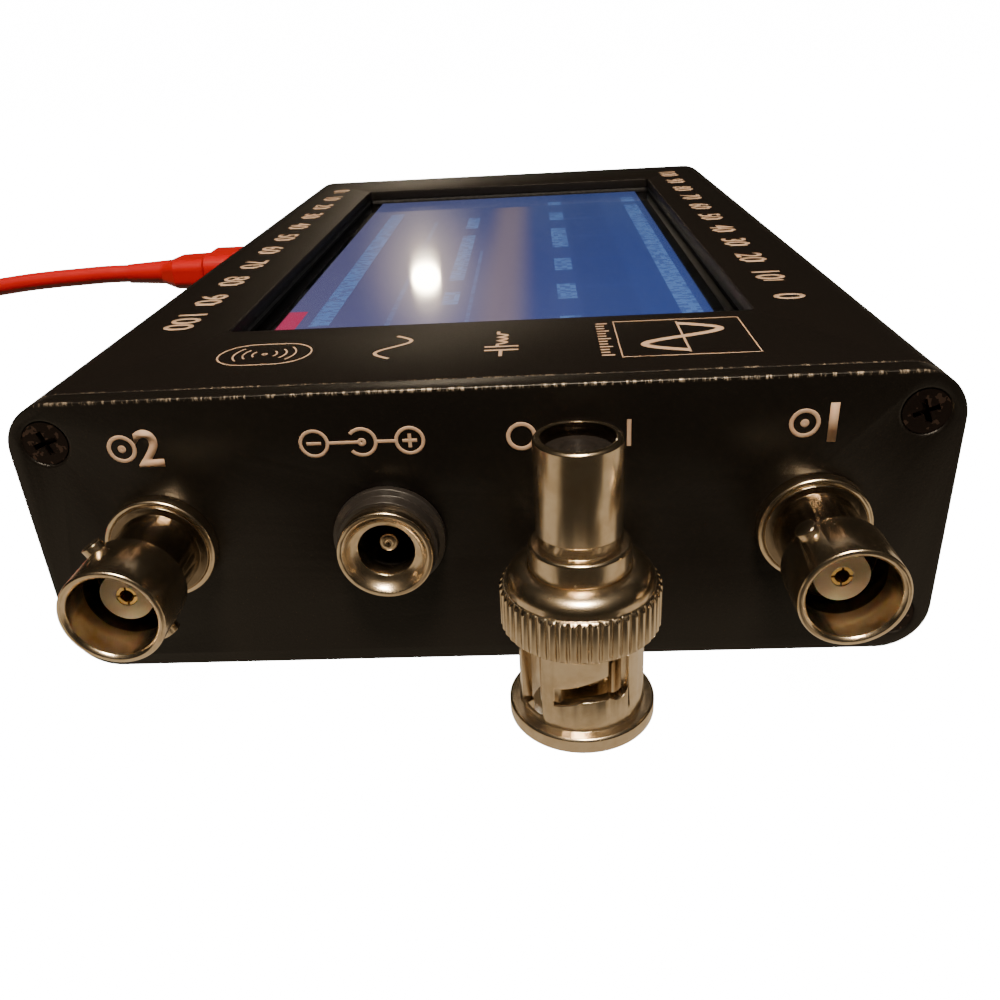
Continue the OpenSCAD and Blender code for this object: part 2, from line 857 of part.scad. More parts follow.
module port_two_shell() {
    port_shell(-port_x, port_two_lug_angle);
}

module port_two_insulator() {
    port_insulator(-port_x);
}

module port_two_contact() {
    port_contact(-port_x);
}

module port_two_washer() {
    port_washer(-port_x);
}

module port_two_nut() {
    port_nut(-port_x);
}

// ---------------------------------------------------------------- charge jack

collar_s = charge_l - 1.1;
collar_back = charge_l - 3.1;
rim_s = charge_l - 1.6;
charge_wall = charge_bore_r + 0.8;

// Black moulded barrel with a thread through the panel
module charge_jack_barrel() {
    well = charge_bore_r + 0.1;
    color([0.03, 0.03, 0.03]) on_front(-charge_x, port_z) rotate_extrude() polygon([
        [charge_pin_r + slip / 2, -charge_back], [charge_pin_r + slip / 2, 3 - charge_back],
        [well, 3 - charge_back], [well, collar_back],
        [charge_wall + slip / 2, collar_back], [charge_wall + slip / 2, rim_s],
        [charge_thread_r, rim_s], [charge_thread_r, 1],
        [charge_flange_r, 0.8], [charge_flange_r, 0], [charge_thread_r, 0],
        [charge_thread_r, -panel_t - nut_t - 1], [charge_thread_r - 0.5, -panel_t - nut_t - 1],
        [charge_thread_r - 0.5, -charge_back]
    ]);
}

// Bright rim with a bevelled mouth and a short collar
module charge_jack_rim() {
    color([0.75, 0.68, 0.55]) on_front(-charge_x, port_z) rotate_extrude() polygon([
        [charge_bore_r, collar_back], [charge_bore_r, collar_s],
        [charge_bore_r + 0.35, collar_s + 0.1], [charge_bore_r + 0.8, collar_s + 0.4],
        [rim_r - 0.5, charge_l], [rim_r - 0.12, charge_l], [rim_r, charge_l - 0.12], [rim_r, rim_s],
        [charge_wall, rim_s], [charge_wall, collar_back]
    ]);
}

module charge_jack_pin() {
    tip = charge_l - charge_pin_depth;
    round_r = 0.35;
    dimple_r = 0.35;
    color([0.8, 0.75, 0.65]) on_front(-charge_x, port_z) rotate_extrude() polygon([
        [0, -charge_back - 1.5], [0, tip - dimple_r], [dimple_r, tip],
        for (a = [90:-22.5:0]) [charge_pin_r - round_r + round_r * cos(a),
                                tip - round_r + round_r * sin(a)],
        [charge_pin_r, -charge_back - 1.5]
    ]);
}

module charge_jack_nut() {
    color([0.7, 0.7, 0.7]) on_front(-charge_x, port_z) {
        hex_ring(charge_nut_af, charge_thread_r + slip / 2, -panel_t - nut_t, -panel_t);
    }
}

// ---------------------------------------------------------------- power switch

button_l = 5;

// Latching switch behind the panel, with solder tabs on the signal board
module power_switch_body() {
    well = button_l + button_travel + ease;
    tab_l = 3;
    color([0.05, 0.05, 0.05]) on_front(button_x, port_z) {
        difference() {
            translate([-switch_w / 2, -switch_w / 2, -panel_t - switch_l]) {
                cube([switch_w, switch_w, switch_l]);
            }
            rod(button_r + slip, -well, 0);
        }
        for (s = [-1, 1]) {
            translate([s * (switch_w / 2 + 0.7), rf_top - port_z + 0.2, -rf_board_y - 1 - tab_l / 2]) {
                cube([1.4, 0.4, tab_l], center = true);
            }
        }
    }
}

module power_button() {
    color([0.08, 0.08, 0.08]) on_front(button_x, port_z) rotate_extrude() polygon([
        [0, -button_l], [0, button_proud - 0.25], [button_r - 1, button_proud - 0.25],
        [button_r - 0.7, button_proud], [button_r - 0.2, button_proud],
        [button_r, button_proud - 0.2], [button_r, -button_l]
    ]);
}

// ---------------------------------------------------------------- load plug

module at_load() {
    translate([load_x, front_y - load_gap, 0]) children();
}

// Outline of one bayonet slot, drawn flat: a rising ramp that ends in a round lock
module slot_outline() {
    lock_r = 1;
    polygon([
        [-3.4, 4.2], [-3.4, 6.1], [-0.7, 7], [1.6, 7.7], [1.6, 5], [-0.7, 5]
    ]);
    translate([2.5, 5.7]) circle(r = lock_r, $fn = 32);
    translate([1.5, 5.7]) square([2 * lock_r, barrel_h - 6.2]);
}

// Ring of ridges, as straight bars round a core
module knurl_section() {
    ridge_r = 0.36;
    circle(r = knurl_r - ridge_r);
    for (i = [0:knurl_count - 1]) {
        rotate(i * 360 / knurl_count) translate([knurl_r - ridge_r, 0]) circle(r = ridge_r, $fn = 16);
    }
}

// Free-turning nut with a foot rim, two bayonet slots, two windows and a knurled ring
module load_coupling_nut() {
    slot_angle = 7;
    window_angle = -56;
    window_half = 1.6;
    bevel = 0.35;
    lip_r = stem_r + slip;
    channel_r = lug_reach + slip;
    color([0.72, 0.6, 0.42]) at_load() difference() {
        union() {
            rotate_extrude() polygon([
                [barrel_bore_r, 0], [foot_r - 0.1, 0], [foot_r, 0.1], [foot_r, foot_h - 0.2],
                [foot_r - 0.2, foot_h], [barrel_r, foot_h], [barrel_r, barrel_h + 0.2],
                [chamber_r + 0.5, barrel_h + 0.2], [chamber_r + 0.5, chamber_z],
                [barrel_bore_r, chamber_z]
            ]);
            intersection() {
                translate([0, 0, barrel_h]) linear_extrude(knurl_h) knurl_section();
                rotate_extrude() polygon([
                    [chamber_r, barrel_h], [knurl_r - bevel, barrel_h],
                    [knurl_r, barrel_h + bevel], [knurl_r, shoulder_z - bevel],
                    [knurl_r - bevel, shoulder_z], [chamber_r, shoulder_z]
                ]);
            }
            rotate_extrude() polygon([
                for (a = [0:10:90]) [lip_r + 0.2 + (knurl_r - 0.75 - lip_r) * cos(a),
                                     shoulder_z - 0.01 + shoulder_h * sin(a)],
                [lip_r, shoulder_z + shoulder_h - 0.01], [lip_r, lip_z],
                [chamber_r, lip_z], [chamber_r, shoulder_z - 0.01]
            ]);
        }
        for (a = [0, 180]) {
            rotate([0, 0, a + slot_angle]) translate([0, -barrel_bore_r + cut, 0]) {
                rotate([90, 0, 0]) linear_extrude(barrel_r) slot_outline();
            }
            rotate([0, 0, a + window_angle]) translate([0, -barrel_bore_r + cut, 0]) {
                rotate([90, 0, 0]) linear_extrude(barrel_r - barrel_bore_r + cut + cut) {
                    translate([-window_half, foot_h + 0.6]) square([2 * window_half, barrel_h - foot_h - 0.8]);
                }
            }
            // Entry channel for a lug, inside the foot rim
            intersection() {
                ring(channel_r, barrel_bore_r - cut, -cut, foot_h + 0.7);
                rotate([0, 0, a + window_angle]) {
                    span([-lug_r - slip, -foot_r, -cut], [lug_r + slip, 0, foot_h + 0.7]);
                }
            }
            // Groove for the lug from the window to the slot
            intersection() {
                ring(channel_r, barrel_bore_r - cut, 3.9, 6.3);
                rotate([0, 0, a + (window_angle - 28) / 2]) {
                    span([-window_half - slip, -foot_r, 3.9], [window_half + slip, 0, 6.3]);
                }
            }
        }
    }
}

// Turned body: captive flange, stem and upper cylinder
module load_body() {
    flange_r = chamber_r - ease;
    round_r = 0.35;
    color([0.75, 0.63, 0.45]) at_load() rotate_extrude() polygon([
        [tail_bore_r, flange_z], [flange_r, flange_z], [flange_r, flange_z + flange_h],
        [stem_r, flange_z + flange_h], [stem_r, stem_top - round_r],
        for (a = [22.5:22.5:90]) [stem_r - round_r + round_r * cos(a),
                                  stem_top - round_r + round_r * sin(a)],
        [tail_r - 0.3, stem_top], [tail_r - 0.3, stem_top + tail_gap],
        [tail_r - 0.15, stem_top + tail_gap], [tail_r, stem_top + tail_gap + 0.15],
        [tail_r, load_h - 0.2], [tail_r - 0.2, load_h], [tail_bore_r + 0.1, load_h],
        [tail_bore_r, load_h - 0.1]
    ]);
}

// Spring sleeve with four slits, pressed against the body's flange
module load_contact_sleeve() {
    low = 1.2;
    slit = 0.5;
    slit_h = 6;
    color([0.8, 0.68, 0.45]) at_load() difference() {
        ring(sleeve_r, sleeve_r - sleeve_t, low, flange_z);
        for (a = [45, 135]) {
            rotate([0, 0, a]) translate([0, 0, low]) cube([3 * sleeve_r, slit, 2 * slit_h], center = true);
        }
    }
}

module load_insulator() {
    color([0.93, 0.87, 0.75]) at_load() {
        ring(tail_bore_r - slip / 2, pin_r + slip / 2, flange_z - 1, flange_z + 5);
    }
}

module load_centre_pin() {
    low = 2.4;
    color([0.85, 0.65, 0.25]) at_load() {
        rod(pin_r, low + pin_r, flange_z + 5);
        translate([0, 0, low + pin_r]) sphere(r = pin_r, $fn = 32);
    }
}

// Resistor from the pin's end up to the end plug
module load_resistor() {
    color([0.2, 0.45, 0.6]) at_load() rod(resistor_r, flange_z + 5, load_h - 2.6);
}

// Wave washer between the captive flange and the nut's lip
module load_wave_spring() {
    steps = 48;
    leaf = 0.25;
    low = flange_z + flange_h;
    rise = lip_z - low - leaf - slip;
    outer = chamber_r - ease;
    inner = stem_r + slip;
    wave = [for (i = [0:steps - 1]) low + rise * (1 - cos(3 * 360 * i / steps)) / 2 + slip / 2];
    points = [
        for (i = [0:steps - 1]) for (c = [[inner, 0], [outer, 0], [outer, leaf], [inner, leaf]])
            [c[0] * cos(360 * i / steps), c[0] * sin(360 * i / steps), wave[i] + c[1]]
    ];
    color([0.7, 0.7, 0.7]) at_load() polyhedron(points, tube_faces(steps, 4, true));
}

// Plug pressed into the top, with a turned ring and a dimple
module load_end_plug() {
    top = load_h - 1.1;
    color([0.6, 0.5, 0.35]) at_load() rotate_extrude() polygon([
        [0, load_h - 2.6], [tail_bore_r - slip / 2, load_h - 2.6], [tail_bore_r - slip / 2, top - 0.2],
        [2.4, top - 0.2], [2.2, top + 0.1], [1.6, top + 0.1], [1.4, top - 0.2],
        [0.8, top - 0.2], [0, top - 0.7]
    ]);
}

// ---------------------------------------------------------------- swept tubes

function unit(v) = v / norm(v);

// Faces of a swept tube, closed into a loop or capped at both ends
function tube_faces(rings, sides, closed) = concat(
    [for (i = [0:rings - (closed ? 1 : 2)]) for (k = [0:sides - 1]) for (t = [0, 1])
        let (a = i * sides + k, b = i * sides + (k + 1) % sides,
             c = ((i + 1) % rings) * sides + k, d = ((i + 1) % rings) * sides + (k + 1) % sides)
        t == 0 ? [a, b, d] : [a, d, c]],
    closed ? [] : [for (k = [1:sides - 2]) [0, k + 1, k]],
    closed ? [] : [for (k = [1:sides - 2]) let (z = (rings - 1) * sides) [z, z + k, z + k + 1]]
);

// Direction of a path at one of its points
function heading(path, i) = unit(
    (i < len(path) - 1 ? unit(path[i + 1] - path[i]) : [0, 0, 0])
    + (i > 0 ? unit(path[i] - path[i - 1]) : [0, 0, 0]));

// Ring of points round a path, square to it
function tube_ring(p, way, r, sides) =
    let (side = unit(cross(way, [0, 0, 1])), up = cross(side, way))
    [for (k = [0:sides - 1]) p + r * (cos(360 * k / sides) * side + sin(360 * k / sides) * up)];

module tube(path, r, sides) {
    points = [for (i = [0:len(path) - 1]) each tube_ring(path[i], heading(path, i), r, sides)];
    polyhedron(points, tube_faces(len(path), sides, false));
}

// ---------------------------------------------------------------- data lead

module usb_socket() {
    mouth_w = usb_shell_w + 2 * slip;
    mouth_h = usb_shell_h + 2 * slip;
    color([0.75, 0.75, 0.77]) translate([socket_x, usb_y, socket_z]) {
        difference() {
            translate([0, -usb_socket_w / 2, -usb_socket_h / 2]) {
                cube([usb_socket_l, usb_socket_w, usb_socket_h]);
            }
            translate([-cut, -mouth_w / 2, -mouth_h / 2]) cube([cut + usb_socket_l - 0.6, mouth_w, mouth_h]);
        }
        translate([1, -1.9, -0.25]) cube([usb_socket_l - 1.2, 3.8, 0.5]);
    }
}

// Hollow steel shell of the small plug
module usb_plug_shell() {
    sheet = 0.25;
    depth = socket_x + usb_socket_l - 1.2 - grip_x;
    color([0.75, 0.75, 0.77]) translate([grip_x, usb_y, socket_z]) difference() {
        translate([-2, -usb_shell_w / 2, -usb_shell_h / 2]) cube([depth + 2, usb_shell_w, usb_shell_h]);
        translate([-2 - cut, -usb_shell_w / 2 + sheet, -usb_shell_h / 2 + sheet]) {
            cube([depth + 2 + 2 * cut, usb_shell_w - 2 * sheet, usb_shell_h - 2 * sheet]);
        }
    }
}

// Stretch of the small plug's grip through sections at given depths and scales
module grip_loft(steps) {
    hull() {
        for (step = steps) {
            translate([grip_x - step[0], usb_y, socket_z]) rotate([0, -90, 0]) {
                linear_extrude(0.01) {
                    round_rect(grip_h * step[1], grip_w * step[1], 2.2 * step[1], $fn = 32);
                }
            }
        }
    }
}

// Moulded grip that narrows into its strain relief
module usb_plug_grip() {
    color([0.85, 0.08, 0.08]) difference() {
        union() {
            // Wide part against the wall
            grip_loft([[0, 0.97], [0.4, 1], [grip_flare_l - 0.8, 1], [grip_flare_l, 0.8]]);
            // Narrower body with drawn-in corners
            grip_loft([[grip_flare_l - 0.8, 0.8], [grip_l - 2.6, 0.76], [grip_l, 0.5]]);
            translate([relief_x + 1, usb_y, socket_z]) rotate([0, -90, 0]) {
                cylinder(r1 = cord_r + 0.6, r2 = cord_r + 0.15, h = relief_x + 1 - route[0][0], $fn = 32);
            }
        }
        translate([grip_x - 2, usb_y - usb_shell_w / 2 - slip / 2, socket_z - usb_shell_h / 2 - slip / 2]) {
            cube([2 + cut, usb_shell_w + slip, usb_shell_h + slip]);
        }
    }
}

module usb_cord() {
    color([0.9, 0.1, 0.1]) tube(route, cord_r, 8);
}

// Radius and height of the coil at a turn count: in along the lower layer, up, out again
function coil_radius(t) =
    t <= coil_turns + climb_turns / 2
        ? coil_r - coil_pitch * t
        : coil_r - coil_pitch * (2 * coil_turns + climb_turns - t);
function coil_height(t) =
    t <= coil_turns ? layer_z[0]
    : t >= coil_turns + climb_turns ? layer_z[1]
    : layer_z[0] + coil_pitch * (1 - cos(180 * (t - coil_turns) / climb_turns)) / 2;
function coil_point(t) =
    [coil_x - coil_radius(t) * cos(360 * t), coil_y - coil_radius(t) * sin(360 * t), coil_height(t)];

coil_steps = round((2 * coil_turns + climb_turns) * loop_steps);
coil_turn_points = [for (i = [0:coil_steps]) coil_point(i / loop_steps)];
coil_path = concat(
    [route_end],
    coil_turn_points,
    [for (s = [0:0.25:1]) [route_end[0], coil_y - tail_lead - tail_drop * s,
        layer_z[1] + (tail_z - layer_z[1]) * (1 - cos(180 * s)) / 2]],
    [[route_end[0], host_relief_y, tail_z]]
);

// Least gap of the coil to itself, between points a third of a turn apart or more
coil_last = len(coil_path) - 1;
coil_gap = min([
    for (i = [0:coil_last]) for (j = [i + loop_steps / 3:1:coil_last])
        norm(coil_path[i] - coil_path[j])
]) - cord_d;
echo(least_gap_in_coil = coil_gap);

module usb_cord_coil() {
    color([0.9, 0.1, 0.1]) tube(coil_path, cord_r, 6);
}

// Strap round the bundle of turns
module coil_strap() {
    lift = layer_z[0] - cord_r;
    inner_r = coil_in_r - coil_pitch / 4 - cord_r - slip;
    outer_r = coil_r + cord_r + slip;
    low = lift - slip;
    high = layer_z[1] + cord_r + slip;
    mid = (inner_r + outer_r) / 2;
    color([0.05, 0.05, 0.05]) translate([coil_x, coil_y + mid, (low + high) / 2]) {
        rotate([90, 0, 90]) translate([0, 0, -strap_w / 2]) linear_extrude(strap_w) difference() {
            round_rect(outer_r - inner_r + 2 * strap_t, high - low + 2 * strap_t, 1.5, $fn = 32);
            round_rect(outer_r - inner_r, high - low, 1, $fn = 32);
        }
    }
}

module host_plug_shell() {
    sheet = 0.4;
    block = 1.9;
    color([0.75, 0.75, 0.77]) translate([route_end[0], host_shell_y, tail_z]) {
        difference() {
            translate([-host_shell_w / 2, -host_shell_l, -host_shell_h / 2]) {
                cube([host_shell_w, host_shell_l + 3, host_shell_h]);
            }
            translate([-host_shell_w / 2 + sheet, -host_shell_l - cut, -host_shell_h / 2 + sheet]) {
                cube([host_shell_w - 2 * sheet, host_shell_l + 3, host_shell_h - 2 * sheet]);
            }
        }
        translate([-host_shell_w / 2 + sheet, 0.3 - host_shell_l, -host_shell_h / 2 + sheet]) {
            cube([host_shell_w - 2 * sheet, host_shell_l + 2, block]);
        }
    }
}

module host_plug_grip() {
    color([0.85, 0.08, 0.08]) difference() {
        union() {
            hull() {
                for (step = [[0, 0.97], [0.8, 1], [host_grip_l * 0.8, 1], [host_grip_l, 0.7]]) {
                    translate([route_end[0], host_shell_y + step[0], tail_z]) rotate([90, 0, 0]) {
                        linear_extrude(0.01) {
                            round_rect(host_grip_w * step[1], host_grip_h * step[1], 2.6 * step[1], $fn = 32);
                        }
                    }
                }
            }
            translate([route_end[0], host_relief_y, tail_z]) rotate([90, 0, 0]) {
                cylinder(r1 = cord_r + 0.3, r2 = cord_r + 1.2, h = host_relief_l + 1, $fn = 32);
            }
        }
        translate([route_end[0] - host_shell_w / 2 - slip / 2, host_shell_y - cut,
                   tail_z - host_shell_h / 2 - slip / 2]) {
            cube([host_shell_w + slip, 3 + slip + cut, host_shell_h + slip]);
        }
    }
}

top_shell();
bottom_shell();
connector_panel();
rear_panel();
connector_panel_screws();
rear_panel_screws();
display_gasket();
touch_glass();
lcd_panel();
lcd_tray();
display_pads();
display_ribbon();
ribbon_socket();
main_board();
main_board_chips();
rf_board();
rf_board_parts();
rf_shield_cans();
board_header();
board_spacers();
board_screws();
battery_cell();
battery_pad();
battery_leads();
battery_plug();
usb_socket();
port_one_shell();
port_one_insulator();
port_one_contact();
port_one_washer();
port_one_nut();
port_two_shell();
port_two_insulator();
port_two_contact();
port_two_washer();
port_two_nut();
charge_jack_barrel();
charge_jack_rim();
charge_jack_pin();
charge_jack_nut();
power_switch_body();
power_button();
load_coupling_nut();
load_body();
load_contact_sleeve();
load_insulator();
load_centre_pin();
load_resistor();
load_wave_spring();
load_end_plug();
usb_plug_shell();
usb_plug_grip();
usb_cord();
usb_cord_coil();
coil_strap();
host_plug_shell();
host_plug_grip();
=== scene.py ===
import math

import bmesh
import bpy
from mathutils import Matrix, Vector


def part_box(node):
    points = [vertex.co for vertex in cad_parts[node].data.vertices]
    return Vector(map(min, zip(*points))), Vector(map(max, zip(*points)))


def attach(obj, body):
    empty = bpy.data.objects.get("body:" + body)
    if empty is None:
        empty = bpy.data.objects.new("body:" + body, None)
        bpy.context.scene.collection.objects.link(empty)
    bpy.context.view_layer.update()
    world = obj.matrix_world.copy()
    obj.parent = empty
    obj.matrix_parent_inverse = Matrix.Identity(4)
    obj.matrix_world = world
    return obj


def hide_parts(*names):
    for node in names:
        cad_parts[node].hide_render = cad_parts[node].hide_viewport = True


bl_info = {
    "name": "Antenna analyzer looks",
    "version": (1, 0),
    "blender": (4, 5, 0),
    "location": "3D View > Sidebar > Analyzer",
    "description": "Dresses the packed antenna analyzer with finishes, marks and small parts",
    "category": "Object",
}

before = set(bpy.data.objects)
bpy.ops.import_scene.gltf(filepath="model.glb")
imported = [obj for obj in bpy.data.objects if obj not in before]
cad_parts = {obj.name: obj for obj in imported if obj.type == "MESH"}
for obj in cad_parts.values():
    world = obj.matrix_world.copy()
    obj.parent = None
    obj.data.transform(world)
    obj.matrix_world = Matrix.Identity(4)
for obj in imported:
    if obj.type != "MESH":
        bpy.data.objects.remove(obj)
MM = 0.001
TURN = 2 * math.pi

# Faces of the case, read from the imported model
PANEL_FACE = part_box("connector_panel")[0][1]
LID_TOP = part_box("top_shell")[1][2]
CASE_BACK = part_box("rear_panel")[1][1]


def middle(node):
    """Centre of a CAD node's box."""
    low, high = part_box(node)
    return (Vector(low) + Vector(high)) / 2


PORTS = {"port_one": middle("port_one_insulator"), "port_two": middle("port_two_insulator")}
CHARGE = middle("charge_jack_rim")
LOAD = middle("load_body")


# ------------------------------------------------------------------ sizes and colours


class AnalyzerSizes(bpy.types.PropertyGroup):
    cord_diameter: bpy.props.FloatProperty(
        name="Cord diameter", description="Thickness of the data lead's cord",
        default=3.0 * MM, unit="LENGTH")
    coil_radius: bpy.props.FloatProperty(
        name="Coil radius", description="Centreline radius of the coil's outermost turn",
        default=24.1 * MM, unit="LENGTH")
    coil_pitch: bpy.props.FloatProperty(
        name="Coil pitch", description="Distance from turn to turn in the coil",
        default=3.5 * MM, unit="LENGTH")
    ink_height: bpy.props.FloatProperty(
        name="Ink height", description="Thickness of the printed marks",
        default=0.03 * MM, unit="LENGTH", precision=5)
    port_mark_height: bpy.props.FloatProperty(
        name="Port number height", description="Height of the numbers over the jacks",
        default=3.9 * MM, unit="LENGTH")


class AnalyzerColours(bpy.types.PropertyGroup):
    case: bpy.props.FloatVectorProperty(
        name="Case", description="Anodised black of the case", subtype="COLOR", size=4,
        min=0, max=1, default=(0.0045, 0.0036, 0.0032, 1))
    nickel: bpy.props.FloatVectorProperty(
        name="Nickel", description="Plating of the jacks and the plug", subtype="COLOR", size=4,
        min=0, max=1, default=(0.68, 0.57, 0.42, 1))
    ink: bpy.props.FloatVectorProperty(
        name="Ink", description="Printed marks", subtype="COLOR", size=4,
        min=0, max=1, default=(0.47, 0.34, 0.245, 1))
    cord: bpy.props.FloatVectorProperty(
        name="Cord", description="Jacket of the data lead", subtype="COLOR", size=4,
        min=0, max=1, default=(0.43, 0.003, 0.004, 1))
    screen: bpy.props.FloatVectorProperty(
        name="Screen", description="Background of the lit display", subtype="COLOR", size=4,
        min=0, max=1, default=(0.036, 0.070, 0.28, 1))


def sizes():
    return bpy.context.scene.analyzer_sizes


def colours():
    return bpy.context.scene.analyzer_colours


# ------------------------------------------------------------------ shader maths


def plug(tree, value, port):
    """Sets a port to a value, or links a signal to it."""
    if isinstance(value, Signal):
        tree.links.new(value.socket, port)
    else:
        port.default_value = value


class Signal:
    """A socket that adds its Math nodes when it is used in an expression."""

    def __init__(self, tree, socket):
        self.tree, self.socket = tree, socket

    def maths(self, operation, first, second=0.0):
        node = self.tree.nodes.new("ShaderNodeMath")
        node.operation = operation
        plug(self.tree, first, node.inputs[0])
        plug(self.tree, second, node.inputs[1])
        return Signal(self.tree, node.outputs[0])

    def __add__(self, other):
        return self.maths("ADD", self, other)

    __radd__ = __add__

    def __sub__(self, other):
        return self.maths("SUBTRACT", self, other)

    def __rsub__(self, other):
        return self.maths("SUBTRACT", other, self)

    def __mul__(self, other):
        return self.maths("MULTIPLY", self, other)

    __rmul__ = __mul__

    def __truediv__(self, other):
        return self.maths("DIVIDE", self, other)

    def __rtruediv__(self, other):
        return self.maths("DIVIDE", other, self)

    def __pow__(self, other):
        return self.maths("POWER", self, other)

    def __neg__(self):
        return self.maths("MULTIPLY", self, -1.0)

    def __abs__(self):
        return self.maths("ABSOLUTE", self)

    def __mod__(self, other):
        return self.maths("FLOORED_MODULO", self, other)

    def __gt__(self, other):
        return self.maths("GREATER_THAN", self, other)

    def __lt__(self, other):
        return self.maths("LESS_THAN", self, other)

    def most(self, other):
        return self.maths("MAXIMUM", self, other)

    def least(self, other):
        return self.maths("MINIMUM", self, other)

    def floor(self):
        return self.maths("FLOOR", self)

    def step(self, low, high):
        """0 under low, 1 over high, smooth between."""
        node = self.tree.nodes.new("ShaderNodeMapRange")
        node.interpolation_type = "SMOOTHSTEP"
        for port, value in ((0, self), (1, low), (2, high)):
            plug(self.tree, value, node.inputs[port])
        return Signal(self.tree, node.outputs[0])


class Finish:
    """A material that is built from nodes and read from Object coordinates."""

    def __init__(self, name):
        self.material = bpy.data.materials.new(name)
        self.material.use_nodes = True
        self.tree = self.material.node_tree
        self.tree.nodes.clear()
        self.place = self.add("ShaderNodeTexCoord", out="Object")
        axes = self.tree.nodes.new("ShaderNodeSeparateXYZ")
        self.tree.links.new(self.place.socket, axes.inputs[0])
        self.x, self.y, self.z = (Signal(self.tree, port) for port in axes.outputs)

    def add(self, kind, settings=None, values=None, out=0):
        """Adds a node with its settings, its socket values or links, and gives one output."""
        node = self.tree.nodes.new(kind)
        for key, setting in (settings or {}).items():
            if key == "stops":
                ramp = node.color_ramp.elements
                while len(ramp) < len(setting):
                    ramp.new(0.5)
                for stop, (where, colour) in zip(ramp, setting):
                    stop.position, stop.color = where, colour
            else:
                setattr(node, key, setting)
        for key, value in (values or {}).items():
            plug(self.tree, value, node.inputs[key])
        return Signal(self.tree, node.outputs[out])

    def noise(self, scale, detail=2.0, rough=0.5, place=None):
        """Noise from 0 to 1; scale counts features to a metre."""
        return self.add("ShaderNodeTexNoise", None, {
            "Vector": place or self.place, "Scale": scale, "Detail": detail, "Roughness": rough})

    def cells(self, scale):
        """Distance from the nearest of scattered points; scale counts them to a metre."""
        return self.add("ShaderNodeTexVoronoi", None,
                        {"Vector": self.place, "Scale": scale}, "Distance")

    def mix(self, share, first, second):
        """Colour between two colours."""
        return self.add("ShaderNodeMix", {"data_type": "RGBA"}, {0: share, 6: first, 7: second}, 2)

    def stretched(self, x=1.0, y=1.0, z=1.0, shift=(0, 0, 0)):
        """Object coordinates, scaled and moved."""
        return self.add("ShaderNodeMapping", {"vector_type": "POINT"}, {
            "Vector": self.place, "Scale": (x, y, z), "Location": shift})

    def bump(self, height, distance, strength=1.0):
        """Normal from a height signal; distance is in metres."""
        return self.add("ShaderNodeBump", None, {
            "Height": height, "Distance": distance, "Strength": strength})

    def shader(self, **sockets):
        """A Principled shader whose sockets are named with underscores for spaces."""
        values = {key.replace("_", " "): value for key, value in sockets.items()}
        return self.add("ShaderNodeBsdfPrincipled", None, values)

    def done(self, surface):
        out = self.tree.nodes.new("ShaderNodeOutputMaterial")
        self.tree.links.new(surface.socket, out.inputs["Surface"])
        return self.material


def rgb(red, green, blue):
    return (red, green, blue, 1.0)


def wear_line(height, width):
    """1 close to a plane, from a signal that gives the distance to it."""
    return 1 - abs(height).step(width * 0.3, width)


def shift_to(point):
    return tuple(-c for c in point)


def flat_length(first, second):
    """Distance from the point where both coordinates are 0."""
    return (first * first + second * second) ** 0.5


# ------------------------------------------------------------------ finishes


def bare_edge(f, plane, wide, most=1.0):
    """Bare metal along a line: a chain of short dashes, most of them dim."""
    chain = f.noise(1.0, 2.0, 0.6, f.stretched(2900, 900, 900))
    spread = f.noise(55, 1.0).step(0.30, 0.60)
    return chain.step(0.46, 0.78) * (0.35 + 0.65 * spread) * most * wear_line(plane, wide)


def anodised_case():
    """Sand-blasted black anodising with bare metal along the lid's ends."""
    f = Finish("anodised_case")
    grain = f.noise(5200, 3.0, 0.6)
    cloud = f.noise(60, 2.0)
    top = f.z.step(LID_TOP - 0.5 * MM, LID_TOP - 0.2 * MM)
    bare = bare_edge(f, abs(f.y) - (CASE_BACK - 2.6 * MM), 0.2 * MM, 0.4) * top
    colour = f.mix(cloud, tuple(colours().case), rgb(0.0060, 0.0046, 0.0040))
    colour = f.mix(bare, colour, rgb(0.62, 0.50, 0.38))
    return f.done(f.shader(
        Base_Color=colour, Metallic=bare * 0.7, Roughness=0.42 + grain * 0.18 - bare * 0.1,
        Normal=f.bump(grain, 0.05 * MM, 0.5), Specular_IOR_Level=0.13))


def anodised_panel():
    """Finer blasted black of the end panels, with bare metal along their top edge."""
    f = Finish("anodised_panel")
    grain = f.noise(6500, 2.0, 0.7)
    coarse = f.noise(2600, 2.0, 0.6)
    cloud = f.noise(70, 2.0)
    rim = f.z.step(LID_TOP - 0.4 * MM, LID_TOP - 0.1 * MM)
    front = abs(f.y).step(CASE_BACK - 0.35 * MM, CASE_BACK - 0.2 * MM)
    bare = bare_edge(f, abs(f.y) - CASE_BACK, 0.3 * MM) * rim
    colour = f.mix(cloud, tuple(colours().case), rgb(0.0060, 0.0050, 0.0042))
    colour = f.mix(bare, colour, rgb(0.70, 0.58, 0.45))
    return f.done(f.shader(
        Base_Color=colour, Metallic=bare * 0.7,
        Roughness=0.26 + coarse * 0.14 + (1 - front) * 0.06,
        Normal=f.bump(grain * 0.6 + coarse * 0.4, 0.06 * MM, 0.6), Specular_IOR_Level=0.28))


# Painted shade in the recesses of a jack, each limit with a soft edge: distances out from the
# panel, and radii
NECK_FROM, NECK_TO = (1.40 * MM, 1.55 * MM), (7.3 * MM, 7.5 * MM)
NECK_REACH, NECK_SHADE_SHARE = (4.80 * MM, 4.95 * MM), 0.85
WELL_TO, WELL_REACH = (9.6 * MM, 9.8 * MM), (4.02 * MM, 4.08 * MM)
# Painted shade in the bore at the load plug's top: height above the floor, and radius
END_FROM, END_REACH = (20 * MM, 21 * MM), (3.2 * MM, 3.35 * MM)


